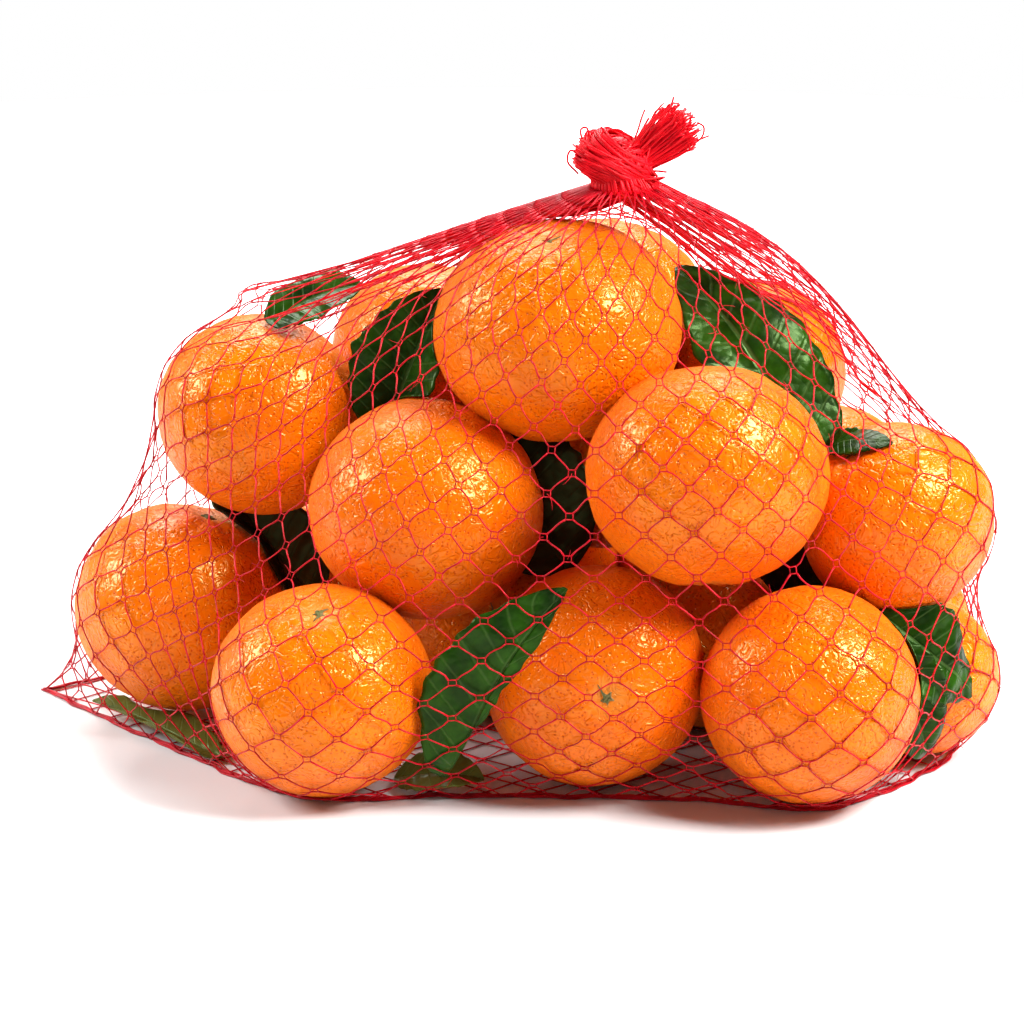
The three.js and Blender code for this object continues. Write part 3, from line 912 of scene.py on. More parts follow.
@dataclass
class Leaves:
    """The leaves between the fruit and the net."""

    heap: Heap
    net: NetPiece
    along: int = 54
    across: int = 20
    thickness: float = 0.4
    clearance: float = 0.8
    net_gap: float = 0.7
    floor_gap: float = 1.2
    passes: int = 16
    blunt: float = 0.004
    base_fullness: float = 0.86
    side_fullness: float = 0.66
    tooth: float = 0.03
    teeth: float = 55.0
    twist: float = 0.05
    flutter: float = 0.035
    rib_depth: float = 0.35
    rib_width: float = 0.8
    vein_height: float = 0.16
    vein_pairs: float = 9.5
    vein_slant: float = 1.15
    sway: float = 0.04

    def __post_init__(self) -> None:
        """Sorts the net's spots for quick search."""
        self.net_spots = self.net.surface()
        self.net_tree = KDTree(len(self.net_spots[0]))
        for index, spot in enumerate(self.net_spots[0]):
            self.net_tree.insert(spot, index)
        self.net_tree.balance()

    def free_form(self, leaf: Leaf, side: np.ndarray, share: np.ndarray) -> np.ndarray:
        """A blade's points before it lies on anything.

        Args:
            leaf: Its place and shape.
            side: Places across the blade, from -1 to 1.
            share: Places along it, from 0 at the stalk to 1 at the point.

        Returns:
            The points, in millimetres of the drawing frame.
        """
        base, tip = np.array(leaf.base, float), np.array(leaf.tip, float)
        length = np.linalg.norm(tip - base)
        along = unit(tip - base)
        facing = unit(np.array(leaf.facing, float))
        facing = unit(facing - (facing @ along) * along)
        right = np.cross(along, facing)
        phase = np.random.default_rng(leaf.seed).uniform(0, 6, 4)
        full = np.clip(share, self.blunt, 1 - self.blunt) ** self.base_fullness
        half = leaf.width / 2 * np.sin(math.pi * full) ** self.side_fullness
        half *= 1 + self.tooth * np.sin(share * self.teeth + leaf.seed)
        rise = leaf.bend * length * 4 * share * (1 - share) + leaf.fold * np.abs(side) * half
        rise += self.twist * half * side**2 * np.sin(share * 17 + phase[0]) * np.sign(side + 0.01)
        rise += self.flutter * half * side**2 * np.sin(share * 31 + phase[1])
        rib = -self.rib_depth * np.exp(-((side * half / self.rib_width) ** 2))
        veins = (share * self.vein_pairs - np.abs(side) * self.vein_slant + 0.2) * 2 * math.pi
        vein = self.vein_height * np.cos(veins) ** 7 * np.minimum(1, np.abs(side) * 8)
        sway = self.sway * length * np.sin(share * 3 + phase[2])
        points = base + along * (share * length)[:, None] + right * (side * half + sway)[:, None]
        return points + facing * (rise + rib + vein)[:, None]

    def blade(self, leaf: Leaf) -> bpy.types.Object:
        """One leaf in its place: a creased, waved blade that lies on the fruit.

        Args:
            leaf: Its place and shape.

        Returns:
            The finished leaf.
        """
        deselect()
        bpy.ops.mesh.primitive_grid_add(x_subdivisions=self.across, y_subdivisions=self.along, size=2)
        blade = bpy.context.active_object
        flat = vertex_places(blade.data)
        points = self.free_form(leaf, flat[:, 0], (flat[:, 1] + 1) / 2)
        self.lie(points)
        blade.data.vertices.foreach_set("co", ((points + FRAME_SHIFT) * MM).ravel())
        apply_modifier(blade, "body", "SOLIDIFY", thickness=self.thickness * MM, offset=0)
        # A tone of 1 turns the leaf dark brown, as painted shade.
        mark(blade.data, "tone", leaf.seed / PAINTED_SHADE_LEAF)
        bpy.ops.object.shade_smooth()
        return blade

    def held(self, points: np.ndarray) -> np.ndarray:
        """Moves points out of the fruit, inside the net and above the floor.

        Args:
            points: The points, one row each.

        Returns:
            The moved points.
        """
        spots, outward = self.net_spots
        near = np.array([self.net_tree.find(point)[1] for point in points])
        proud = ((points - spots[near]) * outward[near]).sum(-1) + self.net_gap
        moved = points - outward[near] * np.maximum(proud, 0)[:, None]
        moved = self.heap.push_out(moved, self.clearance, pads=False)
        moved[:, 2] = np.maximum(moved[:, 2], self.floor_gap)
        return moved

    def lie(self, points: np.ndarray) -> None:
        """Lays a blade between the fruit and the net, with its moves spread smoothly over it.

        Args:
            points: The blade's points, changed in place.
        """
        for _ in range(self.passes):
            grid = (self.held(points) - points).reshape(self.along + 1, self.across + 1, 3)
            for axis in (0, 1):
                pad = np.take(grid, [0], axis), np.take(grid, [-1], axis)
                wide = np.concatenate([pad[0], grid, pad[1]], axis)
                size = grid.shape[axis]
                before, after = (np.take(wide, range(k, k + size), axis) for k in (0, 2))
                grid = 0.5 * grid + 0.25 * (before + after)
            points += grid.reshape(-1, 3)
        points[:] = self.held(points)

    def joined(self, name: str) -> bpy.types.Object:
        """All the leaves as one piece."""
        return joined_as(name, [self.blade(leaf) for leaf in LEAVES])


# --------------------------------------------------------------------------- knot and tail


# Loops and cut ends that stand out of the knot.
KNOT_LOOPS = (
    ((23, -7, 179), (21.2, -8, 184), (20.6, -8.5, 187.2), (22.2, -8.5, 188), (23, -8, 186), (24, -7, 179)),
    ((24, -8, 179), (22.4, -9, 183), (22, -9.5, 186.2), (23.4, -9.2, 187), (24.4, -8, 184), (25, -8, 179)),
    ((26, -6, 181), (26.2, -7, 185), (29, -7, 186.8), (33, -7, 186.4), (34, -6, 181)),
    ((27, -7, 181), (27.5, -8, 184), (30, -8, 185.2), (34, -8, 185), (36, -7, 181)),
    ((20, -8, 174), (16.8, -10, 178), (17.6, -11, 181.6), (20, -10, 180), (23, -8, 176)),
    ((34, -9, 180), (37, -11, 185), (40.5, -12, 191.5)),
    ((40, -9, 175), (43.5, -10, 175.2), (46, -10.4, 175)),
    ((25, -9, 183), (27.2, -9.5, 187), (26.6, -10, 188.4)),
)
# Strands that stray from the tail, as distances along it, up and towards the back.
TAIL_STRAYS = (
    ((0, -3, 0), (10, -5.5, -1), (19, -7, -1), (22.5, -5, -1), (22, -2.5, -1)),
    ((0, 3, 0), (6, 6, 1), (10, 8.6, 1), (12.5, 10, 1)),
    ((0, -3.4, 0), (9, -5.0, 0), (17, -6.6, 0), (22, -8.0, 0)),
)


@dataclass(frozen=True)
class Wing:
    """How one wing of the net is drawn into the knot.

    Args:
        side: -1 for the left wing, 1 for the right one.
        strands: Most strands that leave it.
        top_share: Share of them that starts in its top row.
        front: Furthest place towards the viewer.
        thin: Thickness over the knot's own.
    """

    side: float
    strands: int
    top_share: float
    front: float
    thin: float


@dataclass
class Knot:
    """The knot: both wings of the net drawn into one lump, with short loops.

    The strands of the ring and of the left wing run up through the lump to the tail. A flat band
    of the right wing's strands is wound over them.
    """

    net: NetPiece
    left: Wing = Wing(-1.0, 92, 0.22, -13.0, 1.0)
    right: Wing = Wing(1.0, 70, 0.12, -25.0, 0.82)
    centre: Point = (31.0, -6.0, 177.0)
    axis: Point = (0.55, -0.12, 0.83)
    tail_root: Point = (39.5, -6.4, 179.5)
    lump_long: float = 11.5
    lump_deep: float = 8.6
    lump_high: float = 8.8
    ring_strands: int = 96
    band_width: float = 13.0
    band_strands: int = 46
    band_steps: int = 34
    band_turn: float = 6.5
    wing_rows: int = 12
    wing_steps: int = 22
    wing_taper: tuple[float, float, float] = (0.35, 0.75, 1.0)
    strand: float = 0.4
    loop_strand: float = 0.32
    seed: int = 31

    def on_lump(self, along: np.ndarray, turn: np.ndarray, swell: np.ndarray | float) -> np.ndarray:
        """Spots on the lump.

        Args:
            along: Places along the band's axis, from -1 to 1.
            turn: Angles round the axis; 0 faces the viewer and a quarter turn the upper left.
            swell: Distance over the lump's own.

        Returns:
            The spots, one row each.
        """
        axis = unit(np.array(self.axis))
        front = unit(np.array(TO_VIEWER) + axis[1] * axis)
        left = np.cross(axis, front)
        ring = np.sqrt(np.maximum(1 - along**2, 0.02)) * swell
        return (np.array(self.centre) + np.multiply.outer(along * swell * self.lump_high, axis)
                + np.multiply.outer(ring * np.cos(turn) * self.lump_deep, front)
                + np.multiply.outer(ring * np.sin(turn) * self.lump_long, left))

    def gathered(self, sweep: Sweep, draws: np.random.Generator) -> None:
        """Adds the strands from the net's last ring up into the lump.

        Args:
            sweep: Where the tubes go.
            draws: The knot's random draws.
        """
        count = self.ring_strands
        turn = np.linspace(0, 2 * math.pi, count, endpoint=False) + draws.normal(0, 0.03, count)
        round_way = np.stack([np.cos(turn), np.sin(turn), np.zeros(count)], 1)
        rise = np.array(UP)
        knots = [
            GATHER + round_way * 10.0 - rise * 0.4,
            GATHER + [-0.8, 0, 0] + round_way * draws.uniform(8.2, 9.2, (count, 1)) + rise * 2.4,
            GATHER + [-1.5, 0, 0] + round_way * draws.uniform(5.6, 7.4, (count, 1)) + rise * 6,
            GATHER + [2.0, -0.3, 0] + round_way * draws.uniform(3.0, 5.0, (count, 1)) + rise * 10,
        ]
        sweep.add(smooth_line(np.stack(knots, 1), 8), self.strand, 5, round_way)

    def starts(self, draws: np.random.Generator, wing: Wing) -> np.ndarray:
        """Spots high on one wing of the net.

        Args:
            draws: Where the picks come from.
            wing: The wing.

        Returns:
            The spots, one row each.
        """
        picks = wing.strands * 12
        down = np.minimum(draws.geometric(wing.top_share, picks), self.wing_rows)
        rows = self.net.net.half_rows - 3 - down
        columns = draws.integers(0, self.net.net.columns, picks)
        spots, outward = self.net.junctions[rows, columns], self.net.outward[rows, columns]
        away = wing.side * (spots[:, 0] - GATHER[0]) > 8
        high = (outward[:, 2] > 0.35) | (np.abs(spots[:, 1] - 6) < 9)
        between = (spots[:, 1] > wing.front) & (spots[:, 1] < 26)
        kept = np.flatnonzero(away & high & between)[:wing.strands]
        return spots[kept] + outward[kept] * 0.3

    def run_over(self, sweep: Sweep, wing: Wing, start: np.ndarray, stops: list[np.ndarray]) -> None:
        """Adds a wing's strands, which thicken towards the knot.

        Args:
            sweep: Where the tubes go.
            wing: The wing.
            start: Where each strand leaves the net.
            stops: The spots that each strand passes after that.
        """
        steps = self.wing_steps
        thick = np.interp(np.linspace(0, 1, steps), [0, 0.3, 1], self.wing_taper)[None] * self.strand
        knots = np.stack([start, (start + stops[0]) / 2 + [0, 0, 0.8], *stops], 1)
        lines = self.net.rest(smooth_line(knots, steps), 0.9)
        sweep.add(lines, thick * wing.thin, 5, np.tile([0.0, -1.0, 0.3], (len(start), 1)))

    def wings(self, sweep: Sweep, draws: np.random.Generator) -> None:
        """Adds the strands that leave the wings below the ring and run over the lump.

        Args:
            sweep: Where the tubes go.
            draws: The knot's random draws.
        """
        start = self.starts(draws, self.left)
        count = len(start)
        turn = draws.uniform(-1.0, 1.7, count)
        near = self.on_lump(draws.uniform(-0.85, 0.1, count), math.pi / 2 - 0.3 * (turn - 0.3), 1.04)
        over = self.on_lump(draws.uniform(0.1, 0.75, count), turn * 0.8, 1.0)
        end = np.array(self.tail_root) + draws.normal(0, 1.7, (count, 3))
        self.run_over(sweep, self.left, start, [near, over, end])
        start = self.starts(draws, self.right)
        count = len(start)
        share = draws.uniform(-1, 1, count)
        near = self.on_lump(share * 0.45 - 0.35, draws.uniform(-1.5, -0.8, count), 1.02)
        front = self.on_lump(share * 0.5 - 0.1, draws.uniform(-0.3, 0.2, count), 1.06)
        far = self.on_lump(share * 0.45 + 0.05, draws.uniform(1.1, 1.5, count), 1.03)
        self.run_over(sweep, self.right, start, [near, front, far])

    def wound(self, sweep: Sweep, draws: np.random.Generator) -> None:
        """Adds the flat band wound over the lump.

        Args:
            sweep: Where the tubes go.
            draws: The knot's random draws.
        """
        share = np.linspace(0, 1, self.band_steps)
        reach = self.band_width / 2 / self.lump_high
        lines = []
        for k in range(self.band_strands):
            place = (k / (self.band_strands - 1) * 2 - 1) * reach + draws.normal(0, 0.03)
            turn = -self.band_turn / 2 + self.band_turn * share + draws.normal(0, 0.1)
            along = place + 0.05 * np.sin(share * draws.uniform(4, 9) + k) - 0.1 * (share - 0.5)
            swell = 1.0 + 0.045 * np.sin(k * 2.1) + 0.03 * np.sin(share * 8 + k * 1.3)
            lines.append(self.on_lump(np.clip(along, -0.97, 0.97), turn, swell))
        facing = np.tile(unit(np.array(self.axis)), (self.band_strands, 1))
        sweep.add(np.array(lines), self.strand, 5, facing)

    def filling(self, sweep: Sweep) -> None:
        """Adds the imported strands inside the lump, as one plump tube.

        Args:
            sweep: Where the tube goes.
        """
        level = np.linspace(-0.99, 0.99, 15)
        along = np.multiply.outer(level * self.lump_high * 0.9, unit(np.array(self.axis)))
        wide = np.sqrt(1 - level**2) * min(self.lump_deep, self.lump_high)
        sweep.add((np.array(self.centre) + along)[None], wide[None], 16, np.array([TO_VIEWER]))

    def piece(self, name: str) -> bpy.types.Object:
        """The whole knot as one piece.

        Args:
            name: The piece's name.

        Returns:
            The piece.
        """
        draws = np.random.default_rng(self.seed)
        sweep = Sweep()
        self.gathered(sweep, draws)
        self.wings(sweep, draws)
        self.wound(sweep, draws)
        self.filling(sweep)
        for line in KNOT_LOOPS:
            path = smooth_line(np.array(line, float)[None], 16)
            sweep.add(path, self.loop_strand, 5, np.array([[0.0, -1.0, 0.2]]))
        return sweep.piece(name)


@dataclass
class Tail:
    """The tail: a flared brush of cut strands."""

    root: Point = (36.5, -6.5, 177.0)
    direction: Point = (0.76, -0.03, 0.65)
    length: float = 19.5
    root_radius: float = 4.3
    spread: float = 8.6
    depth: float = 5.0
    strand: float = 0.31
    stray_strand: float = 0.3
    strands: int = 150
    stages: tuple[float, ...] = (0.0, 0.3, 0.62, 0.88, 1.0)
    seed: int = 17

    def piece(self, name: str) -> bpy.types.Object:
        """The whole tail as one piece.

        Args:
            name: The piece's name.

        Returns:
            The piece.
        """
        draws = np.random.default_rng(self.seed)
        root, way = np.array(self.root), unit(np.array(self.direction))
        across = unit(np.cross([0, 1, 0], way))
        deep = np.cross(way, across)
        count = self.strands
        ring = np.sqrt(draws.uniform(0.02, 1, count))
        turn = draws.uniform(0, 2 * math.pi, count)
        side, depth = ring * np.cos(turn), ring * np.sin(turn)
        reach = self.length * draws.uniform(0.86, 1.14, count) * (1 - 0.1 * side**2)
        knots = []
        for share in self.stages:
            wide = self.root_radius + (self.spread - self.root_radius) * share
            thick = self.root_radius + (self.depth - self.root_radius) * share
            stray = draws.normal(0, 0.45 * share, (count, 2))
            knots.append(
                root + way * (reach * share)[:, None]
                + across * (side * wide + stray[:, 0])[:, None]
                + deep * (depth * thick + stray[:, 1])[:, None]
            )
        sweep = Sweep()
        lines = smooth_line(np.stack(knots, 1), 9)
        sweep.add(lines, self.strand * draws.uniform(0.8, 1.15, (count, 1)), 5, np.tile(deep, (count, 1)))
        for line in TAIL_STRAYS:
            path = np.array([root + way * a + across * -b + deep * c for a, b, c in line])
            sweep.add(smooth_line(path[None], 16), self.stray_strand, 5, deep[None])
        return sweep.piece(name)


# --------------------------------------------------------------------------- finishes


class Tree:
    """Adds and joins the nodes of one node tree."""

    def __init__(self, tree: bpy.types.NodeTree) -> None:
        """Keeps the tree and its node list."""
        self.tree = tree
        self.nodes = tree.nodes

    def add(self, kind: str, values: dict[str, object] | None = None, **settings: object) -> bpy.types.Node:
        """Adds a node.

        Args:
            kind: The node's type name.
            values: Input values by socket name or number.
            **settings: The node's own properties.

        Returns:
            The node.
        """
        node = self.nodes.new(kind)
        for key, value in settings.items():
            setattr(node, key, value)
        for key, value in (values or {}).items():
            node.inputs[key].default_value = value
        return node

    def join(self, source: bpy.types.NodeSocket, target: bpy.types.NodeSocket) -> None:
        """Links one socket to another."""
        self.tree.links.new(source, target)

    def texture(self, kind: str, place: bpy.types.NodeSocket, values: dict[str, object]) -> bpy.types.Node:
        """Adds a texture.

        Args:
            kind: The node's type name.
            place: The coordinates that it reads.
            values: Input values by socket name.

        Returns:
            The node.
        """
        node = self.add(kind, values)
        self.join(place, node.inputs["Vector"])
        return node

    def math(self, operation: str, first: object, second: object = 0.0) -> bpy.types.NodeSocket:
        """Adds a sum.

        Args:
            operation: What it does.
            first: A socket or a number.
            second: The same, for the sums that take two.

        Returns:
            Its result.
        """
        node = self.add("ShaderNodeMath", operation=operation)
        for socket, value in zip(node.inputs, (first, second)):
            if isinstance(value, bpy.types.NodeSocket):
                self.join(value, socket)
            else:
                socket.default_value = value
        return node.outputs[0]

    def off(self, value: bpy.types.NodeSocket, middle: float) -> bpy.types.NodeSocket:
        """How far a value is from another, either way."""
        return self.math("ABSOLUTE", self.math("SUBTRACT", value, middle))

    def mixed(self, *terms: tuple[bpy.types.NodeSocket, float]) -> bpy.types.NodeSocket:
        """Adds up some values.

        Args:
            *terms: Each value with the number of times it is taken.

        Returns:
            Their sum.
        """
        parts = [self.math("MULTIPLY", value, times) for value, times in terms]
        total = parts[0]
        for part in parts[1:]:
            total = self.math("ADD", total, part)
        return total

    def spread(self, value: bpy.types.NodeSocket, low: float, high: float, to_low: float = 0.0,
               to_high: float = 1.0) -> bpy.types.NodeSocket:
        """Moves a value smoothly from one range to another and keeps it there.

        Args:
            value: The value.
            low: Start of its range.
            high: End of its range.
            to_low: What the start becomes.
            to_high: What the end becomes.

        Returns:
            The moved value.
        """
        node = self.add("ShaderNodeMapRange", interpolation_type="SMOOTHSTEP")
        for socket, number in zip(node.inputs[1:5], (low, high, to_low, to_high)):
            socket.default_value = number
        self.join(value, node.inputs[0])
        return node.outputs[0]

    def blend(self, share: object, first: object, second: object) -> bpy.types.NodeSocket:
        """Adds a mix of two colours.

        Args:
            share: How much of the second, a socket or a number.
            first: A socket or a colour.
            second: The same.

        Returns:
            The mixed colour.
        """
        node = self.add("ShaderNodeMix", data_type="RGBA")
        for socket, value in ((node.inputs[0], share), (node.inputs[6], first), (node.inputs[7], second)):
            if isinstance(value, bpy.types.NodeSocket):
                self.join(value, socket)
            elif isinstance(value, tuple):
                socket.default_value = (*value, 1.0)
            else:
                socket.default_value = value
        return node.outputs[2]


def mottle_group() -> bpy.types.NodeTree:
    """The shared soft mottling: a value that drifts over a surface."""
    name = "soft_mottle"
    if name in bpy.data.node_groups:
        return bpy.data.node_groups[name]
    group = bpy.data.node_groups.new(name, "ShaderNodeTree")
    group.interface.new_socket("Vector", in_out="INPUT", socket_type="NodeSocketVector")
    group.interface.new_socket("Scale", in_out="INPUT", socket_type="NodeSocketFloat")
    group.interface.new_socket("Mask", in_out="OUTPUT", socket_type="NodeSocketFloat")
    tree = Tree(group)
    start, end = tree.add("NodeGroupInput"), tree.add("NodeGroupOutput")
    noise = tree.texture("ShaderNodeTexNoise", start.outputs["Vector"], {"Detail": 3.0, "Roughness": 0.55})
    tree.join(start.outputs["Scale"], noise.inputs["Scale"])
    tree.join(tree.spread(noise.outputs[0], 0.3, 0.7), end.inputs["Mask"])
    return group


@dataclass(frozen=True)
class Finish:
    """What every finish has.

    Args:
        name: The material's name.
        roughness: How dull it is.
        specular: How much of the light it mirrors.
        coat: Weight of its clear coat.
        coat_roughness: How dull the coat is.
        specular_tint: Colour of what it mirrors.
        mottle_scale: How fine its mottling is.
        bump: Height of its fine relief in metres.
    """

    name: str
    roughness: float
    specular: float = 0.5
    coat: float = 0.0
    coat_roughness: float = 0.1
    specular_tint: Colour = (1.0, 1.0, 1.0)
    mottle_scale: float = 100.0
    bump: float = 0.0002

    def start(self) -> tuple[bpy.types.Material, Tree, bpy.types.Node, bpy.types.NodeSocket]:
        """A new material with the values that are the same all over it.

        Returns:
            The material, its tree, its shader and the object coordinates.
        """
        material = bpy.data.materials.new(self.name)
        material.use_nodes = True
        tree = Tree(material.node_tree)
        tree.nodes.clear()
        shader = tree.add("ShaderNodeBsdfPrincipled", {
            "Roughness": self.roughness,
            "Specular IOR Level": self.specular,
            "Specular Tint": (*self.specular_tint, 1.0),
            "Coat Weight": self.coat,
            "Coat Roughness": self.coat_roughness,
        })
        out = tree.add("ShaderNodeOutputMaterial")
        tree.join(shader.outputs[0], out.inputs[0])
        place = tree.add("ShaderNodeTexCoord")
        return material, tree, shader, place.outputs["Object"]

    def mottle(self, tree: Tree, place: bpy.types.NodeSocket) -> bpy.types.NodeSocket:
        """The shared mottling at this finish's scale.

        Args:
            tree: The material's tree.
            place: The object coordinates.

        Returns:
            The mottling, from 0 to 1.
        """
        node = tree.add("ShaderNodeGroup", node_tree=mottle_group())
        node.inputs["Scale"].default_value = self.mottle_scale
        tree.join(place, node.inputs["Vector"])
        return node.outputs["Mask"]

    def raise_by(self, tree: Tree, shader: bpy.types.Node, height: bpy.types.NodeSocket) -> None:
        """Gives the surface and its coat a fine relief.

        Args:
            tree: The material's tree.
            shader: Its shader.
            height: The relief.
        """
        node = tree.add("ShaderNodeBump", {"Strength": 1.0, "Distance": self.bump})
        tree.join(height, node.inputs["Height"])
        tree.join(node.outputs[0], shader.inputs["Normal"])
        tree.join(node.outputs[0], shader.inputs["Coat Normal"])


@dataclass(frozen=True)
class PeelFinish(Finish):
    """Glossy mandarin peel with oil pores, curling wrinkles and a paler stem end."""

    pale: Colour = (0.82, 0.18, 0.001)
    deep: Colour = (0.77, 0.105, 0.001)
    pore: Colour = (0.55, 0.04, 0.001)
    stem_end: Colour = (0.72, 0.2, 0.02)
    edge_roughness: float = 0.6
    pore_scale: float = 760.0
    wrinkle_scale: float = 250.0
    mottle_scale: float = 60.0
    bump: float = 0.00042

    def material(self) -> bpy.types.Material:
        """The peel's material."""
        material, tree, shader, place = self.start()
        tone = tree.add("ShaderNodeAttribute", attribute_name="tone").outputs["Fac"]
        stem = tree.add("ShaderNodeAttribute", attribute_name="stem").outputs["Fac"]
        colour = tree.blend(tree.mixed((self.mottle(tree, place), 0.5), (tone, 0.45)), self.pale, self.deep)
        pores = tree.texture("ShaderNodeTexVoronoi", place, {"Scale": self.pore_scale, "Randomness": 0.9})
        pit = tree.spread(pores.outputs["Distance"], 0.1, 0.36, 1.0, 0.0)
        colour = tree.blend(tree.math("MULTIPLY", pit, 0.75), colour, self.pore)
        near_stem = tree.spread(stem, 0.03, 0.085, 0.8, 0.0)
        tree.join(tree.blend(near_stem, colour, self.stem_end), shader.inputs["Base Color"])
        curl = tree.texture("ShaderNodeTexNoise", place, {
            "Scale": self.wrinkle_scale,
            "Detail": 1.5,
            "Roughness": 0.5,
            "Distortion": 1.0,
        }).outputs[0]
        wrinkle = tree.spread(tree.off(curl, 0.5), 0.0, 0.12)
        self.raise_by(tree, shader, tree.mixed((pit, -0.35), (wrinkle, 0.5), (curl, 0.9)))
        slant = tree.add("ShaderNodeLayerWeight", {"Blend": 0.35}).outputs["Facing"]
        dull = tree.spread(slant, 0.1, 0.75, self.roughness, self.edge_roughness)
        tree.join(dull, shader.inputs["Roughness"])
        return material


@dataclass(frozen=True)
class NetFinish(Finish):
    """Bright red drawn plastic with a fine grain."""

    bright: Colour = (0.57, 0.003, 0.014)
    dark: Colour = (0.33, 0.001, 0.008)
    grain_scale: float = 2600.0
    mottle_scale: float = 160.0
    bump: float = 0.00008

    def material(self) -> bpy.types.Material:
        """The net's material."""
        material, tree, shader, place = self.start()
        tree.join(tree.blend(self.mottle(tree, place), self.bright, self.dark), shader.inputs["Base Color"])
        grain = tree.texture("ShaderNodeTexNoise", place, {"Scale": self.grain_scale, "Detail": 2.0})
        self.raise_by(tree, shader, grain.outputs[0])
        return material


@dataclass(frozen=True)
class LeafFinish(Finish):
    """Waxy green leaf with a pale midrib and side veins, olive by its tone, or dark brown painted shade on
    the sheets deep in the gaps.
    """

    dark: Colour = (0.002, 0.013, 0.001)
    light: Colour = (0.015, 0.06, 0.002)
    olive: Colour = (0.1, 0.11, 0.02)
    # Dark brown painted shade for the sheets deep in the gaps.
    painted_shade: Colour = (0.022, 0.012, 0.004)
    vein: Colour = (0.13, 0.22, 0.06)
    vein_pairs: float = 9.5
    vein_slant: float = 2.3
    blister_scale: float = 380.0
    mottle_scale: float = 110.0

    def veins(self, tree: Tree) -> bpy.types.NodeSocket:
        """Where the midrib and the side veins run.

        Args:
            tree: The material's tree.

        Returns:
            A mask, 1 on the midrib.
        """
        parts = tree.add("ShaderNodeSeparateXYZ")
        tree.join(tree.add("ShaderNodeTexCoord").outputs["UV"], parts.inputs[0])
        off = tree.off(parts.outputs[0], 0.5)
        midrib = tree.spread(off, 0.008, 0.03, 1.0, 0.0)
        along = tree.math("MULTIPLY", parts.outputs[1], self.vein_pairs)
        slant = tree.math("SUBTRACT", along, tree.math("MULTIPLY", off, self.vein_slant))
        wave = tree.off(tree.math("FRACT", tree.math("ADD", slant, 0.2)), 0.5)
        side_vein = tree.math("MULTIPLY", tree.spread(wave, 0.4, 0.5), 0.55)
        return tree.math("MAXIMUM", midrib, side_vein)

    def material(self) -> bpy.types.Material:
        """The leaves' material."""
        material, tree, shader, place = self.start()
        veins = self.veins(tree)
        tone = tree.add("ShaderNodeAttribute", attribute_name="tone").outputs["Fac"]
        colour = tree.blend(self.mottle(tree, place), self.dark, self.light)
        colour = tree.blend(tree.spread(tone, 0.7, 0.78), colour, self.olive)
        colour = tree.blend(tree.math("MULTIPLY", veins, 0.28), colour, self.vein)
        # Seed-9 leaves turn dark brown: painted shade for the shadowed gaps they fill.
        colour = tree.blend(tree.spread(tone, 0.9, 0.97), colour, self.painted_shade)
        tree.join(colour, shader.inputs["Base Color"])
        blisters = tree.texture("ShaderNodeTexVoronoi", place, {"Scale": self.blister_scale})
        sunk = tree.math("MULTIPLY", blisters.outputs["Distance"], -1.0)
        self.raise_by(tree, shader, tree.math("SUBTRACT", sunk, veins))
        return material


@dataclass(frozen=True)
class CalyxFinish(Finish):
    """Dull grey-green calyx, brown in spots."""

    green: Colour = (0.1, 0.13, 0.035)
    brown: Colour = (0.22, 0.14, 0.05)
    grain_scale: float = 1500.0
    mottle_scale: float = 420.0

    def material(self) -> bpy.types.Material:
        """The calyxes' material."""
        material, tree, shader, place = self.start()
        tree.join(tree.blend(self.mottle(tree, place), self.green, self.brown), shader.inputs["Base Color"])
        grain = tree.texture("ShaderNodeTexNoise", place, {"Scale": self.grain_scale})
        self.raise_by(tree, shader, grain.outputs[0])
        return material


@dataclass(frozen=True)
class FloorFinish(Finish):
    """Plain white studio floor."""

    white: Colour = (0.77, 0.77, 0.77)
    shade: Colour = (0.75, 0.75, 0.75)
    mottle_scale: float = 2.0

    def material(self) -> bpy.types.Material:
        """The floor's material."""
        material, tree, shader, place = self.start()
        tree.join(tree.blend(self.mottle(tree, place), self.white, self.shade), shader.inputs["Base Color"])
        return material


# --------------------------------------------------------------------------- studio


@dataclass(frozen=True)
class Softbox:
    """A square soft white light, in metres, watts and degrees.

    Args:
        name: Its name.
        place: Where it stands.
        size: Its side.
        power: Its power.
        aim: The spot it looks at.
        spread: Width of its beam.
    """

    name: str
    place: Point
    size: float
    power: float
    aim: Point = (0.0, 0.0, 0.08)
    spread: float = 180.0

    def hang(self) -> None:
        """Adds the light to the scene."""
        data = bpy.data.lights.new(self.name, "AREA")
        data.shape = "SQUARE"
        data.size = self.size
        data.energy = self.power
        data.spread = math.radians(self.spread)
        lamp = bpy.data.objects.new(self.name, data)
        lamp.location = self.place
        way = Vector(self.aim) - Vector(self.place)
        lamp.rotation_euler = way.to_track_quat("-Z", "Y").to_euler()
        bpy.context.scene.collection.objects.link(lamp)


SOFTBOXES = (
    Softbox("right_softbox", (0.95, -0.35, 1.1), 0.6, 51.0),
    Softbox("left_softbox", (-1.15, 0.15, 0.75), 0.6, 22.0),
    Softbox("front_fill", (-0.3, -1.4, 0.6), 0.7, 1.5),
    Softbox("backdrop_light", (0.0, 1.5, 1.3), 1.4, 34.0, aim=(0.0, 1.0, 0.0), spread=100.0),
)


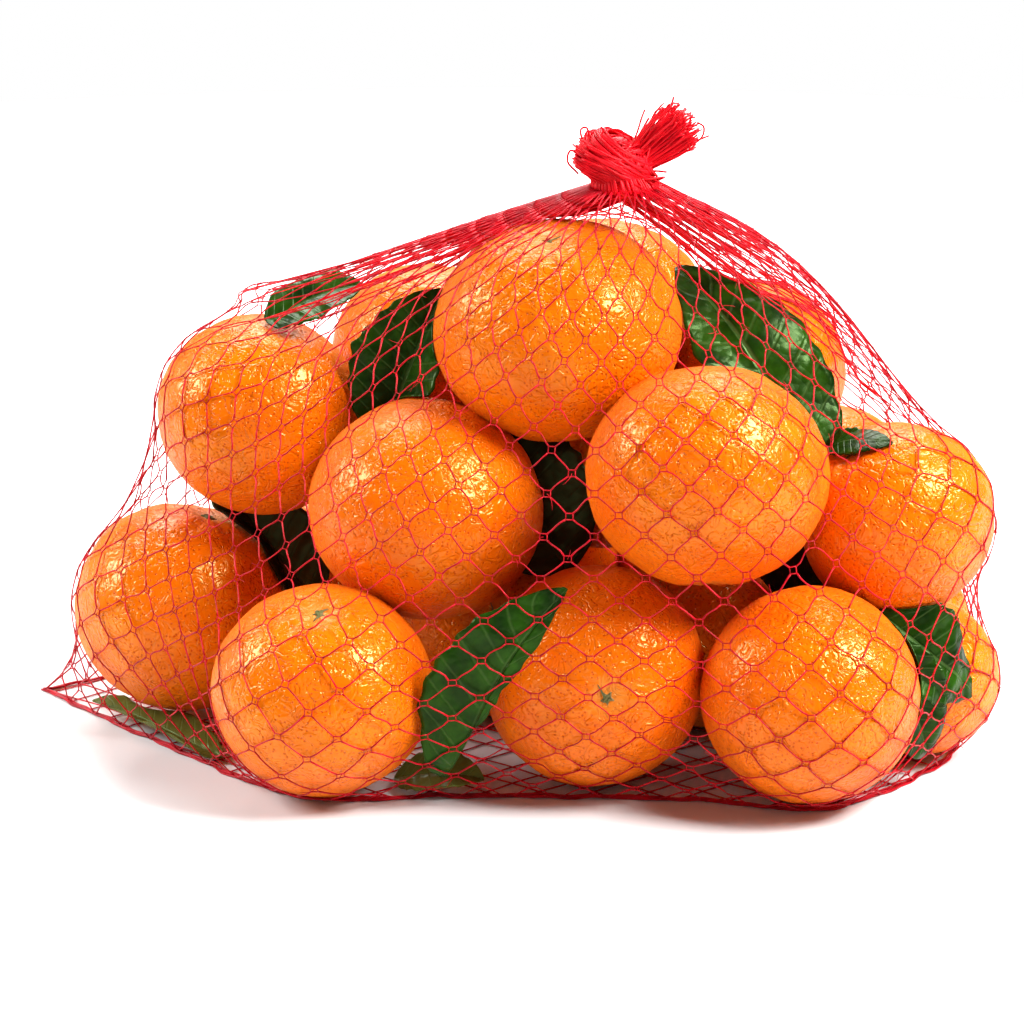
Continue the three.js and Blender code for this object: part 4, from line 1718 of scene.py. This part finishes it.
@dataclass
class Studio:
    """Floor, lights and camera."""

    aim: Point = (1.0, -10.0, 70.5)
    elevation: float = 17.0
    distance: float = 1250.0
    pixels_per_mm: float = 3.32
    image_width: int = 1024
    sensor: float = 36.0
    floor_radius: float = 1.0
    seen_light: float = 1.0
    room_light: float = 0.07

    def floor(self) -> None:
        """A plain white disc of floor."""
        deselect()
        bpy.ops.mesh.primitive_circle_add(vertices=128, radius=self.floor_radius, fill_type="NGON")
        floor = bpy.context.active_object
        floor.name = "studio_floor"
        floor.data.materials.append(FloorFinish("studio_white", 0.9, 0.0).material())

    def surroundings(self) -> None:
        """White surroundings, dimmer as light than to the eye."""
        world = bpy.data.worlds.new("white_room")
        world.use_nodes = True
        tree = Tree(world.node_tree)
        tree.nodes.clear()
        mix, out = tree.add("ShaderNodeMixShader"), tree.add("ShaderNodeOutputWorld")
        tree.join(tree.add("ShaderNodeLightPath").outputs["Is Camera Ray"], mix.inputs[0])
        for strength, socket in zip((self.room_light, self.seen_light), mix.inputs[1:]):
            light = tree.add("ShaderNodeBackground", {"Color": (1, 1, 1, 1), "Strength": strength})
            tree.join(light.outputs[0], socket)
        tree.join(mix.outputs[0], out.inputs[0])
        bpy.context.scene.world = world

    def camera(self) -> None:
        """The camera at the photograph's angle."""
        data = bpy.data.cameras.new("photo_camera")
        data.sensor_width = self.sensor
        data.lens = self.pixels_per_mm * self.distance / self.image_width * self.sensor
        data.clip_start, data.clip_end = 0.05, 30
        camera = bpy.data.objects.new("photo_camera", data)
        tilt = math.radians(self.elevation)
        back = np.array([0.0, -math.cos(tilt), math.sin(tilt)])
        camera.location = (np.array(self.aim) + back * self.distance) * MM
        camera.rotation_euler = (math.pi / 2 - tilt, 0, 0)
        bpy.context.scene.collection.objects.link(camera)
        bpy.context.scene.camera = camera

    def build(self) -> None:
        """Everything round the object."""
        self.floor()
        self.surroundings()
        for softbox in SOFTBOXES:
            softbox.hang()
        self.camera()
        bpy.context.scene.view_settings.view_transform = "Standard"
        bpy.context.scene.view_settings.look = "None"


def report(obj: bpy.types.Object) -> None:
    """Logs a finished piece and its count of triangles."""
    triangles = sum(len(face.vertices) - 2 for face in obj.data.polygons)
    LOG.info("%s: %d triangles", obj.name, triangles)


def main() -> None:
    """Builds the net, its fruit and its studio."""
    logging.basicConfig(level=logging.INFO, format="%(name)s: %(message)s")
    Studio().build()
    heap = Heap()
    peel = PeelFinish("mandarin_peel", 0.19, 0.5, 0.12, 0.14, specular_tint=(1.0, 0.76, 0.2)).material()
    red = NetFinish("red_net", 0.4, 0.35, specular_tint=(1.0, 0.45, 0.45)).material()
    # The knot and tail are the net's own plastic; this lighter red is painted light, for the bright look of
    # their dense bundles.
    lit_red = NetFinish("red_knot_lit", 0.4, 0.35, specular_tint=(1.0, 0.45, 0.45),
                           bright=(0.84, 0.003, 0.013), dark=(0.58, 0.001, 0.007)).material()
    # The leaf material also paints shade: dark brown on the seed-9 sheets in the gaps.
    green = LeafFinish("citrus_leaf_and_painted_shade", 0.28, 0.22, specular_tint=(0.6, 1.0, 0.35)).material()
    stub = CalyxFinish("green_calyx", 0.7, 0.3).material()
    fruit = Mandarins(heap)
    front = settle_in(fruit.joined("mandarins_front", Side.FRONT, fruit.front_level), peel)
    back = settle_in(fruit.joined("mandarins_back", Side.BACK, fruit.back_level), peel)
    stars = settle_in(Calyxes(heap).joined("calyxes"), stub)
    net = NetPiece(heap, DrawnNet())
    # The leaves piece also holds the three dark brown sheets of painted shade.
    leaves = settle_in(Leaves(heap, net).joined("leaves"), green)
    lower = settle_in(net.band("net_lower", 0, 16), red)
    upper = settle_in(net.band("net_upper", 16, 31), red)
    floor_net = settle_in(net.floor_strands(), red)
    fibres = settle_in(net.fibres(), red)
    # The knot and tail take the lighter red, painted light.
    knot = settle_in(Knot(net).piece("knot_strands"), lit_red)
    tail = settle_in(Tail().piece("tail_strands"), lit_red)
    for piece in (front, back, stars, leaves, lower, upper, floor_net, fibres):
        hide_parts("net_body")
        report(piece)
    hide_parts("net_knot")
    report(knot)
    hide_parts("net_tail")
    report(tail)


if __name__ == "__main__":
    main()
